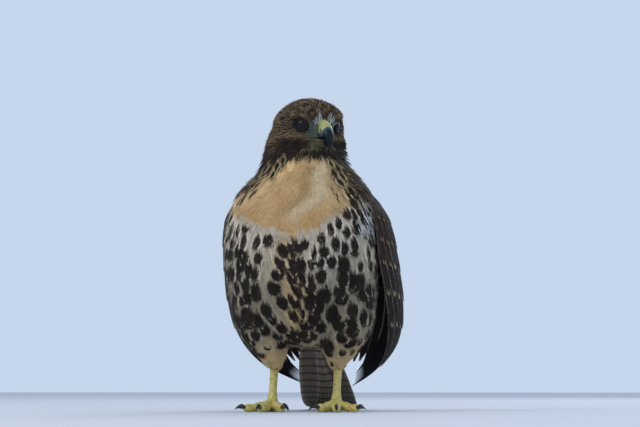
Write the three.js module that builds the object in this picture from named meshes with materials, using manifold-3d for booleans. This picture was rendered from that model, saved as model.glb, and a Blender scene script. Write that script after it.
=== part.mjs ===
// A perched red-tailed hawk in its first-year plumage, as a still, life-size model.
// Millimetres, +Z up. The bird faces -Y, and its left side is +X. The floor is z = 0.
import * as THREE from "three";
import { mergeVertices } from "three/addons/utils/BufferGeometryUtils.js";
import Module from "manifold-3d";

const wasm = await Module();
wasm.setup();

// Driving dimensions
const GAP = 0.35; // clear space between pieces that meet
const SIDES = { left: 1, right: -1 };
const HEAD_CENTRE = new THREE.Vector3(11, -20, 324.5);
const HEAD_YAW = 32; // degrees, towards the bird's left
const HEAD_NOD = 8; // degrees, bill down
const HEAD_CUT_Z = 296; // where head and neck part
const NECK_CUT_Z = 262; // where neck and torso part
const EYE_RADIUS = 9.5;
const EYE_APEX = { side: 24.3, forward: 25.3, up: 2 }; // outermost point of the eye, in the head's frame
const EYE_TURN = 46; // degrees between the bill's line and the eye's axis
const WING_REACH = { left: 26, right: 0 }; // how far a wing's leading edge is carried forward round the flank
const WING_SPREAD = { left: 5.6, right: -7 }; // how far a wing's outer line is held off the body
const VANE_THICK = 0.52;
const LAYER_STEP = 0.84; // from one feather to the one that lies over it
const TIER_STEP = 2.4; // from one tier of feathers to the next

const COLOURS = {
  brown: 0x4a3a30,
  dark: 0x3a2e28,
  white: 0xcfc8bd,
  bill: 0x24303a,
  cere: 0xb9b65a,
  skin: 0xc9b45e,
  claw: 0x1a1a1c,
  eye: 0x0e1116,
};

const vec = (x, y, z) => new THREE.Vector3(x, y, z);
const rad = THREE.MathUtils.degToRad;
const mix = THREE.MathUtils.lerp;
const ease = THREE.MathUtils.smoothstep;

// A smooth number that passes through the given values as t runs from 0 to 1 (Catmull-Rom).
function through(values, t) {
  const last = values.length - 1;
  const x = THREE.MathUtils.clamp(t, 0, 1) * last;
  const i = Math.min(Math.floor(x), last - 1);
  const f = x - i;
  const [b, c] = [values[i], values[i + 1]];
  const a = i > 0 ? values[i - 1] : 2 * b - c;
  const d = i + 2 <= last ? values[i + 2] : 2 * c - b;
  return b + 0.5 * f * (c - a + f * (2 * a - 5 * b + 4 * c - d + f * (3 * (b - c) + d - a)));
}

const smoothLine = (points) => new THREE.CatmullRomCurve3(points, false, "catmullrom", 0.5);

// Meshes and solids

function signedVolume(p, index) {
  let six = 0;
  for (let i = 0; i < index.length; i += 3) {
    const [a, b, c] = [p[index[i]], p[index[i + 1]], p[index[i + 2]]];
    six += a.dot(vec(0, 0, 0).crossVectors(b, c));
  }
  return six;
}

// A closed surface from points and triangles, turned so that its faces point out.
function closed(points, index) {
  if (signedVolume(points, index) < 0) {
    for (let i = 0; i < index.length; i += 3) {
      [index[i + 1], index[i + 2]] = [index[i + 2], index[i + 1]];
    }
  }
  return new THREE.BufferGeometry().setFromPoints(points).setIndex(index);
}

// A body through rings of equal length, each end closed by a fan round its middle. In a flat body the
// second half of a ring is its underside, divided as the upper side is, so that thin sheets stay apart,
// and each end is closed by a strip.
function loft(rings, flat = false) {
  const n = rings[0].length;
  const points = rings.flat();
  const index = [];
  for (let i = 0; i + 1 < rings.length; i++) {
    for (let j = 0; j < n; j++) {
      const a = i * n + j;
      const b = i * n + ((j + 1) % n);
      if (flat && j >= n / 2) index.push(a, b, a + n, b, b + n, a + n);
      else index.push(a, b, b + n, a, b + n, a + n);
    }
  }
  for (const [ring, start, turned] of [[rings[0], 0, true], [rings.at(-1), (rings.length - 1) * n, false]]) {
    const cap = [];
    if (flat) {
      for (let j = 0; j + 1 < n / 2; j++) cap.push([j, j + 1, n - 2 - j], [j, n - 2 - j, n - 1 - j]);
    } else {
      const middle = ring.reduce((sum, p) => sum.add(p), vec(0, 0, 0)).divideScalar(n);
      for (let j = 0; j < n; j++) cap.push([points.length - start, j, (j + 1) % n]);
      points.push(middle);
    }
    for (const face of cap) index.push(...(turned ? face.reverse() : face).map((k) => start + k));
  }
  return closed(points, index);
}

function solid(geometry) {
  const bare = geometry.clone();
  bare.deleteAttribute("normal");
  bare.deleteAttribute("uv");
  const merged = mergeVertices(bare, 1e-4);
  return new wasm.Manifold(new wasm.Mesh({
    numProp: 3,
    vertProperties: new Float32Array(merged.attributes.position.array),
    triVerts: new Uint32Array(merged.index.array),
  }));
}

const join = (solids) => solids.reduce((a, b) => a.add(b));
const keepAbove = (s, z) => s.trimByPlane([0, 0, 1], z);
const keepBelow = (s, z) => s.trimByPlane([0, 0, -1], -z);

// The largest closed surface of a solid, as a geometry.
function geometryOf(s) {
  const largest = s.decompose().sort((a, b) => b.volume() - a.volume())[0];
  const m = largest.getMesh();
  const points = [];
  for (let i = 0; i < m.numVert; i++) {
    points.push(vec(...m.vertProperties.subarray(i * m.numProp, i * m.numProp + 3)));
  }
  const g = new THREE.BufferGeometry().setFromPoints(points);
  g.setIndex(new THREE.BufferAttribute(new Uint32Array(m.triVerts), 1));
  g.computeVertexNormals();
  return g;
}

const hawk = new THREE.Group();

function add(name, s, colour, roughness = 0.8) {
  const material = new THREE.MeshStandardMaterial({ color: colour, roughness, metalness: 0 });
  const mesh = new THREE.Mesh(geometryOf(s), material);
  mesh.name = name;
  hawk.add(mesh);
}

// Trunk: level rings from the belly between the legs up to the throat

const TRUNK = {
  z: [76, 82, 92, 108, 130, 156, 181, 205, 225, 242, 256, 269, 283, 298, 312, 324, 333],
  half: [22, 50, 68, 79, 86, 90, 91, 89.5, 86.5, 82, 73.5, 61.5, 52.5, 48.5, 45.5, 41, 27],
  front: [-2, -28, -47, -61, -72, -79, -80, -77.5, -74, -70, -65.5, -61.5, -58, -54.5, -49, -41, -26],
  back: [48, 70, 84, 92, 93, 86, 77, 68, 60, 53, 47, 42, 38.5, 36.5, 34.5, 29, 14],
  shift: [0, -1, -1, -1, -2, -2.5, -2.5, -2, -1, 1, 2.5, 4, 2, 1, 1.5, 2.5, 5], // to the bird's left
};

function trunkPoint(t, turn, grow = 0) {
  const half = through(TRUNK.half, t) + grow;
  const front = through(TRUNK.front, t) - grow;
  const back = through(TRUNK.back, t) + grow;
  const middle = (front + back) / 2;
  const square = 0.92; // under 1 makes the section fuller than an ellipse
  const c = Math.cos(turn);
  const s = Math.sin(turn);
  return vec(
    through(TRUNK.shift, t) + half * Math.sign(c) * Math.abs(c) ** square,
    middle + ((back - front) / 2) * Math.sign(s) * Math.abs(s) ** square,
    through(TRUNK.z, t) + (t === 0 ? -grow : 0),
  );
}

function trunk(grow = 0) {
  const rings = [];
  const rows = 24;
  const columns = 28;
  for (let i = 0; i <= rows; i++) {
    rings.push(Array.from({ length: columns }, (_, j) =>
      trunkPoint(i / rows, (j / columns) * 2 * Math.PI, grow)));
  }
  return solid(loft(rings));
}

// Head, in its own frame: the bill points to -Y

const headMatrix = new THREE.Matrix4()
  .makeTranslation(HEAD_CENTRE)
  .multiply(new THREE.Matrix4().makeRotationZ(rad(HEAD_YAW)))
  .multiply(new THREE.Matrix4().makeRotationX(rad(HEAD_NOD)));

const inHead = (geometry) => solid(geometry.clone().applyMatrix4(headMatrix));

const SKULL = { side: 37, forward: 36, back: 55, up: 33.5, down: 60 };
const SKULL_FORMS = [
  // place on the skull, height of the form, and its spread in degrees
  { at: [0, -38, -2], high: 4, spread: 17 }, // face in front of the eyes, up to the bill
  { at: [23, -22, 21], high: 4, spread: 18 }, // brow
  { at: [26, -26, 1], high: -3, spread: 14 }, // eye hollow
  { at: [17, -33, -3], high: -3.5, spread: 13 }, // lore
  { at: [36, -2, -15], high: 4, spread: 26 }, // cheek
  { at: [0, 44, -10], high: 3, spread: 30 }, // nape
  { at: [33, 20, -2], high: 4.5, spread: 28 }, // side of the head behind the eye
  { at: [0, -24, 30], high: -1.5, spread: 24 }, // flat forehead
  { at: [0, -30, -26], high: -3, spread: 20 }, // throat behind the bill
];

function skullPoint(turn, rise, grow = 0) {
  const d = vec(Math.sin(turn) * Math.cos(rise), -Math.cos(turn) * Math.cos(rise), Math.sin(rise));
  const along = d.y < 0 ? SKULL.forward : SKULL.back;
  const high = d.z > 0 ? SKULL.up : SKULL.down;
  let r = 1 / Math.hypot(d.x / SKULL.side, d.y / along, d.z / high);
  for (const form of SKULL_FORMS) {
    for (const side of form.at[0] ? [1, -1] : [1]) {
      const angle = d.angleTo(vec(form.at[0] * side, form.at[1], form.at[2]));
      r += form.high * Math.exp(-((angle / rad(form.spread)) ** 2));
    }
  }
  return d.multiplyScalar(r + grow);
}

function skull(grow = 0) {
  const rows = 18;
  const columns = 30;
  const rings = [];
  for (let i = 1; i < rows; i++) {
    const rise = (i / rows - 0.5) * Math.PI;
    rings.push(Array.from({ length: columns }, (_, j) =>
      skullPoint((j / columns) * 2 * Math.PI, rise, grow)));
  }
  return inHead(loft(rings));
}

function eyeFrame(side) {
  const axis = vec(side * Math.sin(rad(EYE_TURN)), -Math.cos(rad(EYE_TURN)), 0.05).normalize();
  const apex = vec(side * EYE_APEX.side, -EYE_APEX.forward, EYE_APEX.up);
  return { axis, centre: apex.clone().addScaledVector(axis, -EYE_RADIUS) };
}

function eyeball(side, grow = 0) {
  const { axis, centre } = eyeFrame(side);
  const ball = new THREE.SphereGeometry(EYE_RADIUS + grow, 16, 10);
  ball.applyQuaternion(new THREE.Quaternion().setFromUnitVectors(vec(0, 1, 0), axis));
  return inHead(ball.translate(centre.x, centre.y, centre.z));
}

const LIDS = { opening: 7.2, thick: 1.6, depth: 6.8, wide: 1.06, high: 0.92 };

// A shape made round the Z axis, set on the eye's axis at a distance from its centre.
function onEye(geometry, side, distance) {
  const { axis, centre } = eyeFrame(side);
  geometry.scale(LIDS.wide, LIDS.high, 1);
  geometry.applyQuaternion(new THREE.Quaternion().setFromUnitVectors(vec(0, 0, 1), axis));
  const at = centre.clone().addScaledVector(axis, distance);
  return inHead(geometry.translate(at.x, at.y, at.z));
}

// The lids: a ring round the opening of the eye.
const lids = (side) => onEye(new THREE.TorusGeometry(LIDS.opening, LIDS.thick, 6, 16), side, LIDS.depth);

// The opening in front of the eye, wider towards the outside.
function opening(side) {
  const well = new THREE.CylinderGeometry(LIDS.opening + 1, LIDS.opening - 0.6, 12, 16).rotateX(Math.PI / 2);
  return onEye(well, side, LIDS.depth + 5);
}

// A round bar through stations {at, wide, high}, with level ellipses across its run.
function bar(stations, steps, columns) {
  const run = smoothLine(stations.map((s) => s.at));
  const rings = [];
  for (let i = 0; i <= steps; i++) {
    const t = i / steps;
    const along = run.getTangent(t);
    const across = vec(0, 0, 1).cross(along).normalize();
    const up = along.clone().cross(across);
    const wide = through(stations.map((s) => s.wide), t);
    const high = through(stations.map((s) => s.high), t);
    rings.push(Array.from({ length: columns }, (_, j) => {
      const a = (j / columns) * 2 * Math.PI;
      return run.getPoint(t).addScaledVector(across, wide * Math.cos(a)).addScaledVector(up, high * Math.sin(a));
    }));
  }
  return loft(rings);
}

// The bony brow that shades the eye.
function brow(side) {
  return inHead(bar([
    { at: vec(side * 11.5, -29, 9), wide: 3.5, high: 3.2 },
    { at: vec(side * 17.5, -24.5, 13.2), wide: 7, high: 5.4 },
    { at: vec(side * 23, -16.5, 15), wide: 8.4, high: 6 },
    { at: vec(side * 25, -4, 14.6), wide: 5.4, high: 4.2 },
  ], 8, 8));
}

// The corner of the mouth, a groove that runs back under the eye.
function gape(side) {
  return inHead(bar([
    { at: vec(side * 8, -42, -12.4), wide: 3, high: 0.5 },
    { at: vec(side * 17, -33, -12.8), wide: 3.4, high: 0.6 },
    { at: vec(side * 26, -24, -14.5), wide: 3.4, high: 0.6 },
  ], 5, 6));
}

// A horny sheath between an upper and a lower line in the head's middle plane. Its section is full
// at the biting edge, below on the upper bill and above on the lower one, and round on the other side.
function sheath({ upper, lower, half, edge }, steps, grow = 0) {
  const curve = (line) => smoothLine(line.map(([f, z]) => vec(0, -f, z)));
  const [top, bottom] = [curve(upper), curve(lower)];
  const columns = 14;
  const rings = [];
  for (let i = 0; i <= steps; i++) {
    const t = i / steps;
    const [a, b] = [top.getPoint(t), bottom.getPoint(t)];
    const middle = a.clone().add(b).multiplyScalar(0.5);
    const reach = a.clone().sub(b).multiplyScalar(0.5);
    reach.setLength(reach.length() + grow);
    const wide = through(half, t) + grow;
    rings.push(Array.from({ length: columns }, (_, j) => {
      const turn = (j / columns) * 2 * Math.PI;
      const c = Math.cos(turn);
      const fullness = c * edge > 0 ? 0.5 : 0.95;
      return middle.clone()
        .add(vec(wide * Math.sin(turn), 0, 0))
        .addScaledVector(reach, Math.sign(c) * Math.abs(c) ** fullness);
    }));
  }
  return inHead(loft(rings));
}

const CERE = {
  upper: [[28, 9.4], [38, 8.4], [44.8, 5.2], [48.6, 1.4]],
  lower: [[28, -11.6], [37, -11.8], [42.8, -11.9], [45.4, -11.9]],
  half: [10.5, 8.2, 6.9, 6.2],
  edge: -1,
};
const UPPER_BILL = {
  upper: [[49, 1], [52.6, -2.8], [55.8, -8.2], [57.2, -14.4], [56.9, -20], [55.2, -25.6]],
  lower: [[45.8, -11.9], [48.4, -12.3], [50.6, -13.3], [52.3, -15.8], [53.6, -20.2], [54.5, -25.2]],
  half: [6.1, 5.8, 5.1, 4, 2.7, 0.5],
  edge: -1,
};
const LOWER_BILL = {
  upper: [[28, -12.2], [38, -12.3], [44.4, -12.5], [48.2, -13.8]],
  lower: [[28, -19], [38, -18.2], [44.6, -17], [48.4, -15.6]],
  half: [10, 6.8, 5.2, 2.2],
  edge: 1,
};

function nostril(side) {
  const hole = new THREE.SphereGeometry(1, 10, 8);
  hole.scale(2.2, 1.7, 1.5);
  return inHead(hole.translate(side * 6.9, -43.2, -3.9));
}

function buildHead() {
  let whole = join([trunk(), skull(), brow(1), brow(-1)]);
  for (const side of [1, -1]) {
    whole = whole.subtract(opening(side)).add(lids(side)).subtract(eyeball(side, GAP)).subtract(gape(side));
  }
  const body = trunk(GAP).add(skull(GAP));
  const cut = (s) => s.subtract(body);
  const cere = cut(sheath(CERE, 5));
  add("head", keepAbove(whole, HEAD_CUT_Z + GAP / 2), COLOURS.brown);
  add("neck", keepBelow(keepAbove(whole, NECK_CUT_Z + GAP / 2), HEAD_CUT_Z - GAP / 2), COLOURS.brown);
  add("torso", keepBelow(whole, NECK_CUT_Z - GAP / 2), COLOURS.white);
  add("cere", cere.subtract(nostril(1)).subtract(nostril(-1)), COLOURS.cere, 0.5);
  add("bill_upper", cut(sheath(UPPER_BILL, 12)), COLOURS.bill, 0.35);
  add("bill_lower", cut(sheath(LOWER_BILL, 7)), COLOURS.bill, 0.4);
  for (const [name, side] of Object.entries(SIDES)) {
    add("eye_" + name, eyeball(side), COLOURS.eye, 0.1);
  }
}

// Legs: feathered thighs, bare shanks with four toes, and claws

const STANCE = 37; // from the middle to each shank
const THIGH_FOOT_Z = 50;
const THIGH = {
  z: [145, 130, 114, 98, 83, 69, 58, THIGH_FOOT_Z],
  side: [50, 49, 48, 46, 43.5, 40, 37.5, 36.5],
  along: [-8, -8, -5, 0, 6, 11, 15, 17],
  wide: [28, 34, 35, 33.5, 29, 21, 13, 8.5],
  deep: [28, 42, 46, 44, 37, 27, 17, 10.5],
};

function thigh(side, grow = 0) {
  const rings = [];
  const rows = 14;
  const columns = 20;
  for (let i = 0; i <= rows; i++) {
    const t = i / rows;
    rings.push(Array.from({ length: columns }, (_, j) => {
      const a = (j / columns) * 2 * Math.PI;
      return vec(
        side * (through(THIGH.side, t) + (through(THIGH.wide, t) + grow) * Math.cos(a)),
        through(THIGH.along, t) + (through(THIGH.deep, t) + grow) * Math.sin(a),
        through(THIGH.z, t),
      );
    }));
  }
  return solid(loft(rings));
}

const SHANK = [
  // height, setback, half width, half depth
  [THIGH_FOOT_Z - GAP, 17, 5.0, 6.0],
  [38, 12.5, 4.6, 5.6],
  [24, 7, 4.6, 5.4],
  [14, 3, 6.2, 6.6],
  [8, 1, 7.2, 7.4],
];
const TOES = [
  // turn from straight ahead to the outer side, length, thickness at the root and end, claw length
  { name: "inner", turn: -30, length: 34, root: 6.2, end: 4.9, claw: 21 },
  { name: "middle", turn: 8, length: 46, root: 6.0, end: 4.6, claw: 18 },
  { name: "outer", turn: 50, length: 37, root: 5.6, end: 4.4, claw: 16 },
  { name: "hind", turn: 196, length: 27, root: 6.4, end: 5.1, claw: 23 },
];
const TOE_LIFT = { root: 9.2, end: 4.5 };
const SOLE = { radius: 7, tall: 9 }; // the flat pad under the foot's middle

const CLAW_RISE = 27; // degrees above level where the claw leaves the toe
const CLAW_BEND = 74; // degrees through which it curves

const toeDirection = (side, toe) =>
  vec(side * Math.sin(rad(toe.turn)), -Math.cos(rad(toe.turn)), 0);

function tube(points, radii, columns, flat = 1) {
  const run = smoothLine(points);
  const steps = radii.length - 1;
  const rings = radii.map((r, i) => {
    const t = i / steps;
    const along = run.getTangent(t);
    const across = vec(0, 0, 1).cross(along).normalize();
    const up = along.clone().cross(across);
    return Array.from({ length: columns }, (_, j) => {
      const a = (j / columns) * 2 * Math.PI;
      return run.getPoint(t).addScaledVector(across, r * Math.cos(a)).addScaledVector(up, flat * r * Math.sin(a));
    });
  });
  return loft(rings);
}

// One toe, swollen at each of its pads.
function toe(side, spec) {
  const out = toeDirection(side, spec);
  const start = vec(side * STANCE, 1, 0);
  const at = (share, z) => start.clone().addScaledVector(out, spec.length * share).setZ(z);
  const path = [at(0, TOE_LIFT.root), at(0.35, TOE_LIFT.root * 0.75), at(0.7, TOE_LIFT.end), at(1, TOE_LIFT.end)];
  const pads = spec.length > 30 ? 3 : 2;
  const radii = Array.from({ length: 9 }, (_, i) => {
    const t = i / 8;
    const tip = t > 0.95 ? 0.62 : 1;
    return mix(spec.root, spec.end, t) * (1 + 0.09 * Math.cos(t * pads * 2 * Math.PI + Math.PI)) * tip;
  });
  return solid(tube(path, radii, 7));
}

// A hooked claw: it leaves the toe level and bends down through a share of a circle.
function claw(side, spec, grow = 0) {
  const out = toeDirection(side, spec);
  const bend = rad(CLAW_BEND);
  const rise = rad(CLAW_RISE);
  const r = spec.claw / bend;
  const start = vec(side * STANCE, 1, 0).addScaledVector(out, spec.length - 1.8).setZ(TOE_LIFT.end + 0.6);
  const points = Array.from({ length: 6 }, (_, i) => {
    const a = rise - (bend * i) / 5; // first it rises a little, then it points down
    return start.clone()
      .addScaledVector(out, r * (Math.sin(rise) - Math.sin(a)))
      .add(vec(0, 0, r * (Math.cos(a) - Math.cos(rise))));
  });
  const radii = [3.1, 3.0, 2.6, 2.0, 1.3, 0.35].map((v) => v + grow);
  return solid(tube(points, radii, 6));
}

function buildLegs() {
  const body = trunk(GAP);
  for (const [name, side] of Object.entries(SIDES)) {
    add("thigh_" + name, thigh(side).subtract(body), COLOURS.white);
    const rings = SHANK.map(([z, y, wide, deep]) => Array.from({ length: 12 }, (_, j) => {
      const a = (j / 12) * 2 * Math.PI;
      return vec(side * STANCE + wide * Math.cos(a), y + deep * Math.sin(a), z);
    }));
    const sole = new THREE.CylinderGeometry(SOLE.radius + 0.8, SOLE.radius, SOLE.tall, 12).rotateX(Math.PI / 2);
    sole.translate(side * STANCE, 1, SOLE.tall / 2);
    let foot = join([solid(loft(rings)), solid(sole), ...TOES.map((spec) => toe(side, spec))]);
    for (const spec of TOES) {
      foot = foot.subtract(claw(side, spec, GAP));
      add(`claw_${name}_${spec.name}`, claw(side, spec), COLOURS.claw, 0.3);
    }
    add("foot_" + name, keepAbove(foot, 0), COLOURS.skin, 0.6);
  }
}

// Sheets: the curved faces on which the flight feathers lie

const LEADING = [
  [58, -8, 262], [86, -12, 222], [93, 4, 170], [93, 46, 118], [84, 97, 80], [60, 155, 49], [24, 226, 26],
];
const OUTER = [
  [62, 14, 265], [92, 14, 222], [101, 38, 170], [101, 72, 121], [90, 112, 84], [62, 162, 53], [25, 228, 29],
];
const INNER = [
  [42, 14, 268], [26, 65, 230], [18, 89, 187], [15, 107, 149], [15, 133, 114], [16, 177, 74], [19, 229, 36],
];
const OUTER_AT = 0.4; // where the outer line lies between the leading one at 0 and the inner one at 1

// A wing's sheet passes through its three lines.
function wingSheet(side, reach, spread) {
  const curve = (line, forward, out) => smoothLine(line.map(([x, y, z], i) => {
    const k = Math.sin((Math.PI * i) / (line.length - 1));
    return vec(side * (x - 0.3 * forward * k + out * k), y - forward * k, z);
  }));
  const [leading, outer, inner] = [curve(LEADING, reach, spread / 2), curve(OUTER, 0, spread), curve(INNER, 0, 0)];
  return (u, v) => {
    const t = THREE.MathUtils.clamp(u, 0, 1);
    const m = OUTER_AT;
    return leading.getPoint(t).multiplyScalar(((v - m) * (v - 1)) / m)
      .addScaledVector(outer.getPoint(t), (v * (v - 1)) / (m * (m - 1)))
      .addScaledVector(inner.getPoint(t), (v * (v - m)) / (1 - m));
  };
}

const TAIL_LINE = [[58, 118], [98, 90], [140, 60], [184, 32], [226, 11.2], [266, 4.45]];

const tailLine = smoothLine(TAIL_LINE.map(([y, z]) => vec(0, y, z)));

function tailSheet(u, v) {
  return tailLine.getPoint(THREE.MathUtils.clamp(u, 0, 1)).add(vec((v - 0.5) * 100, 0, 0));
}

// Two directions on the sheet and its outward normal, at (u, v).
function sheetFrame(sheet, u, v, outside) {
  const d = 0.01;
  const du = sheet(u + d, v).sub(sheet(u - d, v)).divideScalar(u + d > 1 || u - d < 0 ? d : 2 * d);
  const dv = sheet(u, v + d).sub(sheet(u, v - d)).divideScalar(2 * d);
  const normal = du.clone().cross(dv).normalize();
  if (normal.dot(outside) < 0) normal.negate();
  return { du, dv, normal };
}

// A blade between two lifts of a sheet, from one share of its length to another.
function blade(sheet, outside, { from, to, across, high, low }) {
  const rows = 7;
  const columns = 6;
  const rings = [];
  for (let i = 0; i <= rows; i++) {
    const u = mix(from, to, i / rows);
    const face = (v, lift) => sheet(u, v).addScaledVector(sheetFrame(sheet, u, v, outside).normal, lift);
    const [v0, v1] = across(u);
    const shares = Array.from({ length: columns + 1 }, (_, j) => mix(v0, v1, j / columns));
    const top = shares.map((v) => face(v, high(u)));
    const bottom = shares.map((v) => face(v, low(u)));
    rings.push([...top, ...bottom.reverse()]);
  }
  return solid(loft(rings, true));
}

// Vanes: flat feathers in fans, where each one lies over the edge of the one before

// The outline of a long and of a short vane: [share of the length, share of the half width]
const LONG_VANE = [[0, 0.6], [0.34, 0.95], [0.68, 1], [0.9, 0.76], [1, 0.25]];
const SHORT_VANE = [[0, 0.7], [0.6, 1], [0.88, 0.78], [1, 0.25]];
const CAMBER = 0.3;

// A row of evenly spread random numbers from 0 to 1 that is the same on each run.
function seeded(seed) {
  let state = seed;
  return () => {
    state = (Math.imul(state, 1664525) + 1013904223) >>> 0;
    return state / 2 ** 32;
  };
}

// One vane; face(t, share, camber) gives a point of its upper face and the normal there.
function vane(outline, face) {
  const rings = outline.map(([t, width]) => {
    const upper = [-1, 0, 1].map((share) => face(t, share * width, share ? 0 : CAMBER));
    const lower = upper.map(({ at, normal }) => at.clone().addScaledVector(normal, -VANE_THICK));
    return [...upper.map(({ at }) => at), ...lower.reverse()];
  });
  return solid(loft(rings, true));
}

const WING_FANS = [
  // roots and tips of the first and last feather as [u, v], tier above the sheet,
  // and how far a feather reaches to each side, in steps from one feather to the next
  { count: 7, root: [[0.45, 0.12], [0.45, 0.6]], tip: [[1.0, 0.3], [0.85, 0.98]], tier: 0, reach: 0.9 },
  { count: 8, root: [[0.3, 0.08], [0.3, 0.94]], tip: [[0.62, 0.1], [0.82, 0.96]], tier: 1, reach: 0.85 },
  { count: 7, root: [[0.16, 0.07], [0.16, 0.93]], tip: [[0.4, 0.06], [0.55, 0.93]], tier: 2, reach: 0.8 },
  { count: 5, root: [[0.06, 0.09], [0.06, 0.6]], tip: [[0.24, 0.06], [0.3, 0.62]], tier: 3, reach: 0.75 },
  { count: 3, root: [[0.12, 0.75], [0.14, 0.94]], tip: [[0.32, 0.75], [0.58, 0.96]], tier: 3, reach: 0.75 },
];
const WING_SINK = 7; // how far the layers lie below the sheet's own level at the shoulder
const ROOT_SINK = 2.5; // how far a feather's root dips into the core

const wingLift = (u) => -WING_SINK * (1 - ease(u, 0.25, 0.8));

function wingVanes(sheet, outside, random) {
  return WING_FANS.flatMap((fan) => Array.from({ length: fan.count }, (_, i) => {
    const extra = (random() - 0.5) * 0.02;
    return vane(fan.tier > 1 ? SHORT_VANE : LONG_VANE, (t, share, camber) => {
      const step = share * fan.reach;
      const f = (i + step) / (fan.count - 1);
      const place = (k) => mix(mix(fan.root[0][k], fan.root[1][k], f), mix(fan.tip[0][k], fan.tip[1][k], f), t);
      const [u, v] = [place(0) + extra * t, place(1)];
      const { normal } = sheetFrame(sheet, u, v, outside);
      const dip = t === 0 ? ROOT_SINK : 0;
      const lift = fan.tier * TIER_STEP + wingLift(u) - step * LAYER_STEP + camber - dip;
      return { at: sheet(u, v).addScaledVector(normal, lift), normal };
    });
  }));
}

function buildWing(name, side, obstacles) {
  const sheet = wingSheet(side, WING_REACH[name], WING_SPREAD[name]);
  const outside = vec(side, 0.4, 0.2);
  const core = blade(sheet, outside, {
    from: 0, to: 0.6, across: (u) => [0.03 + 0.06 * u, 0.97 - 0.25 * u],
    high: (u) => wingLift(u) + through([-1, 8, 6.2, 4, 2, 0.3, -0.3], u / 0.6),
    low: (u) => wingLift(u) - mix(6, 1.6, ease(u, 0.3, 0.6)),
  });
  let wing = join([core, ...wingVanes(sheet, outside, seeded(side + 20))]);
  for (const o of obstacles) wing = wing.subtract(o);
  add("wing_" + name, wing, COLOURS.dark);
}

const TAIL = {
  pairs: 6,
  rootAt: 0.16, // where the feathers leave the core, as a share of the tail's line
  half: 12.5,
  spread: { root: 1.2, tip: 5.2 }, // from one feather to the next
  shorter: 0.012, // each pair ends a little before the pair inside it
};

function tailVane(side, pair, order) {
  return vane(LONG_VANE, (t, share, camber) => {
    const u = mix(TAIL.rootAt, 0.995 - TAIL.shorter * pair, t);
    const middle = side * (1.6 + mix(TAIL.spread.root, TAIL.spread.tip, t) * pair + 1.2 * t);
    const { normal } = sheetFrame(tailSheet, u, 0.5, vec(0, 0.5, 1));
    const across = vec(middle + share * TAIL.half, 0, 0);
    return { at: tailSheet(u, 0.5).add(across).addScaledVector(normal, camber - order * LAYER_STEP), normal };
  });
}

function buildTail(obstacles) {
  const core = blade(tailSheet, vec(0, 0.5, 1), {
    from: 0, to: 0.42, across: (u) => [0.26 + 0.08 * u, 0.74 - 0.08 * u],
    high: (u) => mix(8, 0.4, ease(u, 0, 0.42)),
    low: (u) => -mix(18, 8, ease(u, 0, 0.42)),
  });
  const vanes = [];
  for (let pair = 0; pair < TAIL.pairs; pair++) {
    const order = pair < 2 ? 2 * pair : pair + 2;
    vanes.push(tailVane(1, pair, order), tailVane(-1, pair, pair < 2 ? order + 1 : order));
  }
  let tail = join([core, ...vanes]);
  for (const o of obstacles) tail = tail.subtract(o);
  add("tail", keepAbove(tail, 0), COLOURS.brown);
}

buildHead();
buildLegs();
const trunkClear = trunk(GAP);
buildTail([trunkClear]);
for (const [name, side] of Object.entries(SIDES)) {
  buildWing(name, side, [trunkClear]);
}

// The origin is the middle of the whole bird's box, on the floor.
const box = new THREE.Box3().setFromObject(hawk);
hawk.position.set(-(box.min.x + box.max.x) / 2, -(box.min.y + box.max.y) / 2, -box.min.z);

export default hawk;
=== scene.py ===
"""A perched red-tailed hawk in its first-year plumage: skin, feathers, eyes, bill and feet round the frame.

The bird's own forms are worked out in millimetres, as in the part's source, and turned into metres when a
mesh is made.
"""
import math
from types import SimpleNamespace

import bpy
import numpy as np
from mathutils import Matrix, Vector
from mathutils.bvhtree import BVHTree
from mathutils.kdtree import KDTree


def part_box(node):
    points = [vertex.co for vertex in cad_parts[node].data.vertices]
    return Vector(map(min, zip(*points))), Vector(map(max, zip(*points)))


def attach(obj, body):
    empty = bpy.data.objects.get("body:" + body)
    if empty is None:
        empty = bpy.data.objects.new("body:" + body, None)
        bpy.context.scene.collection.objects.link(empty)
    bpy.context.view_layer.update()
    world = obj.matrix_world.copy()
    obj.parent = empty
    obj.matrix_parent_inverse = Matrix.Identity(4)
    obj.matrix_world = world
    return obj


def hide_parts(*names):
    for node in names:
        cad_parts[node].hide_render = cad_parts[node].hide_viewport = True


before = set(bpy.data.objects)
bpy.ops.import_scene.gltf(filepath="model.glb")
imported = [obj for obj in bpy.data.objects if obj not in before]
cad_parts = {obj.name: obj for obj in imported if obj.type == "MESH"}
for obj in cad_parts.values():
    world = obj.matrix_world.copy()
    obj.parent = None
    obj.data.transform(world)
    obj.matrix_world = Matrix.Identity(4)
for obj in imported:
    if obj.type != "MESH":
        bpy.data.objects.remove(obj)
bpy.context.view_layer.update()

MM = 0.001
UP = np.array([0, 0, 1.0])
SIDES = {1: "left", -1: "right"}
rng = np.random.default_rng(7)

# Sizes and places, in millimetres and degrees

HEAD_CENTRE = np.array([11.0, -20.0, 324.5])
HEAD_YAW, HEAD_NOD = 32, 8
EYE_RADIUS, EYE_TURN, EYE_CUT = 9.5, 46, 78
EYE_APEX = np.array([24.3, -25.3, 2.0])
SOCKET, EYE_BARE, LID_OPENING, LID_THICK = (7.6, 9.6), 8.4, 7.0, 1.35
STANCE = 37
COAT_DEPTH, HEAD_COAT, THIGH_COAT = 4.5, 2.2, 3.5
SKIN_VOXEL, FOOT_VOXEL = 2.0, 0.7
SKIN_ROUNDS, FOOT_ROUNDS = 12, 4

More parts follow.
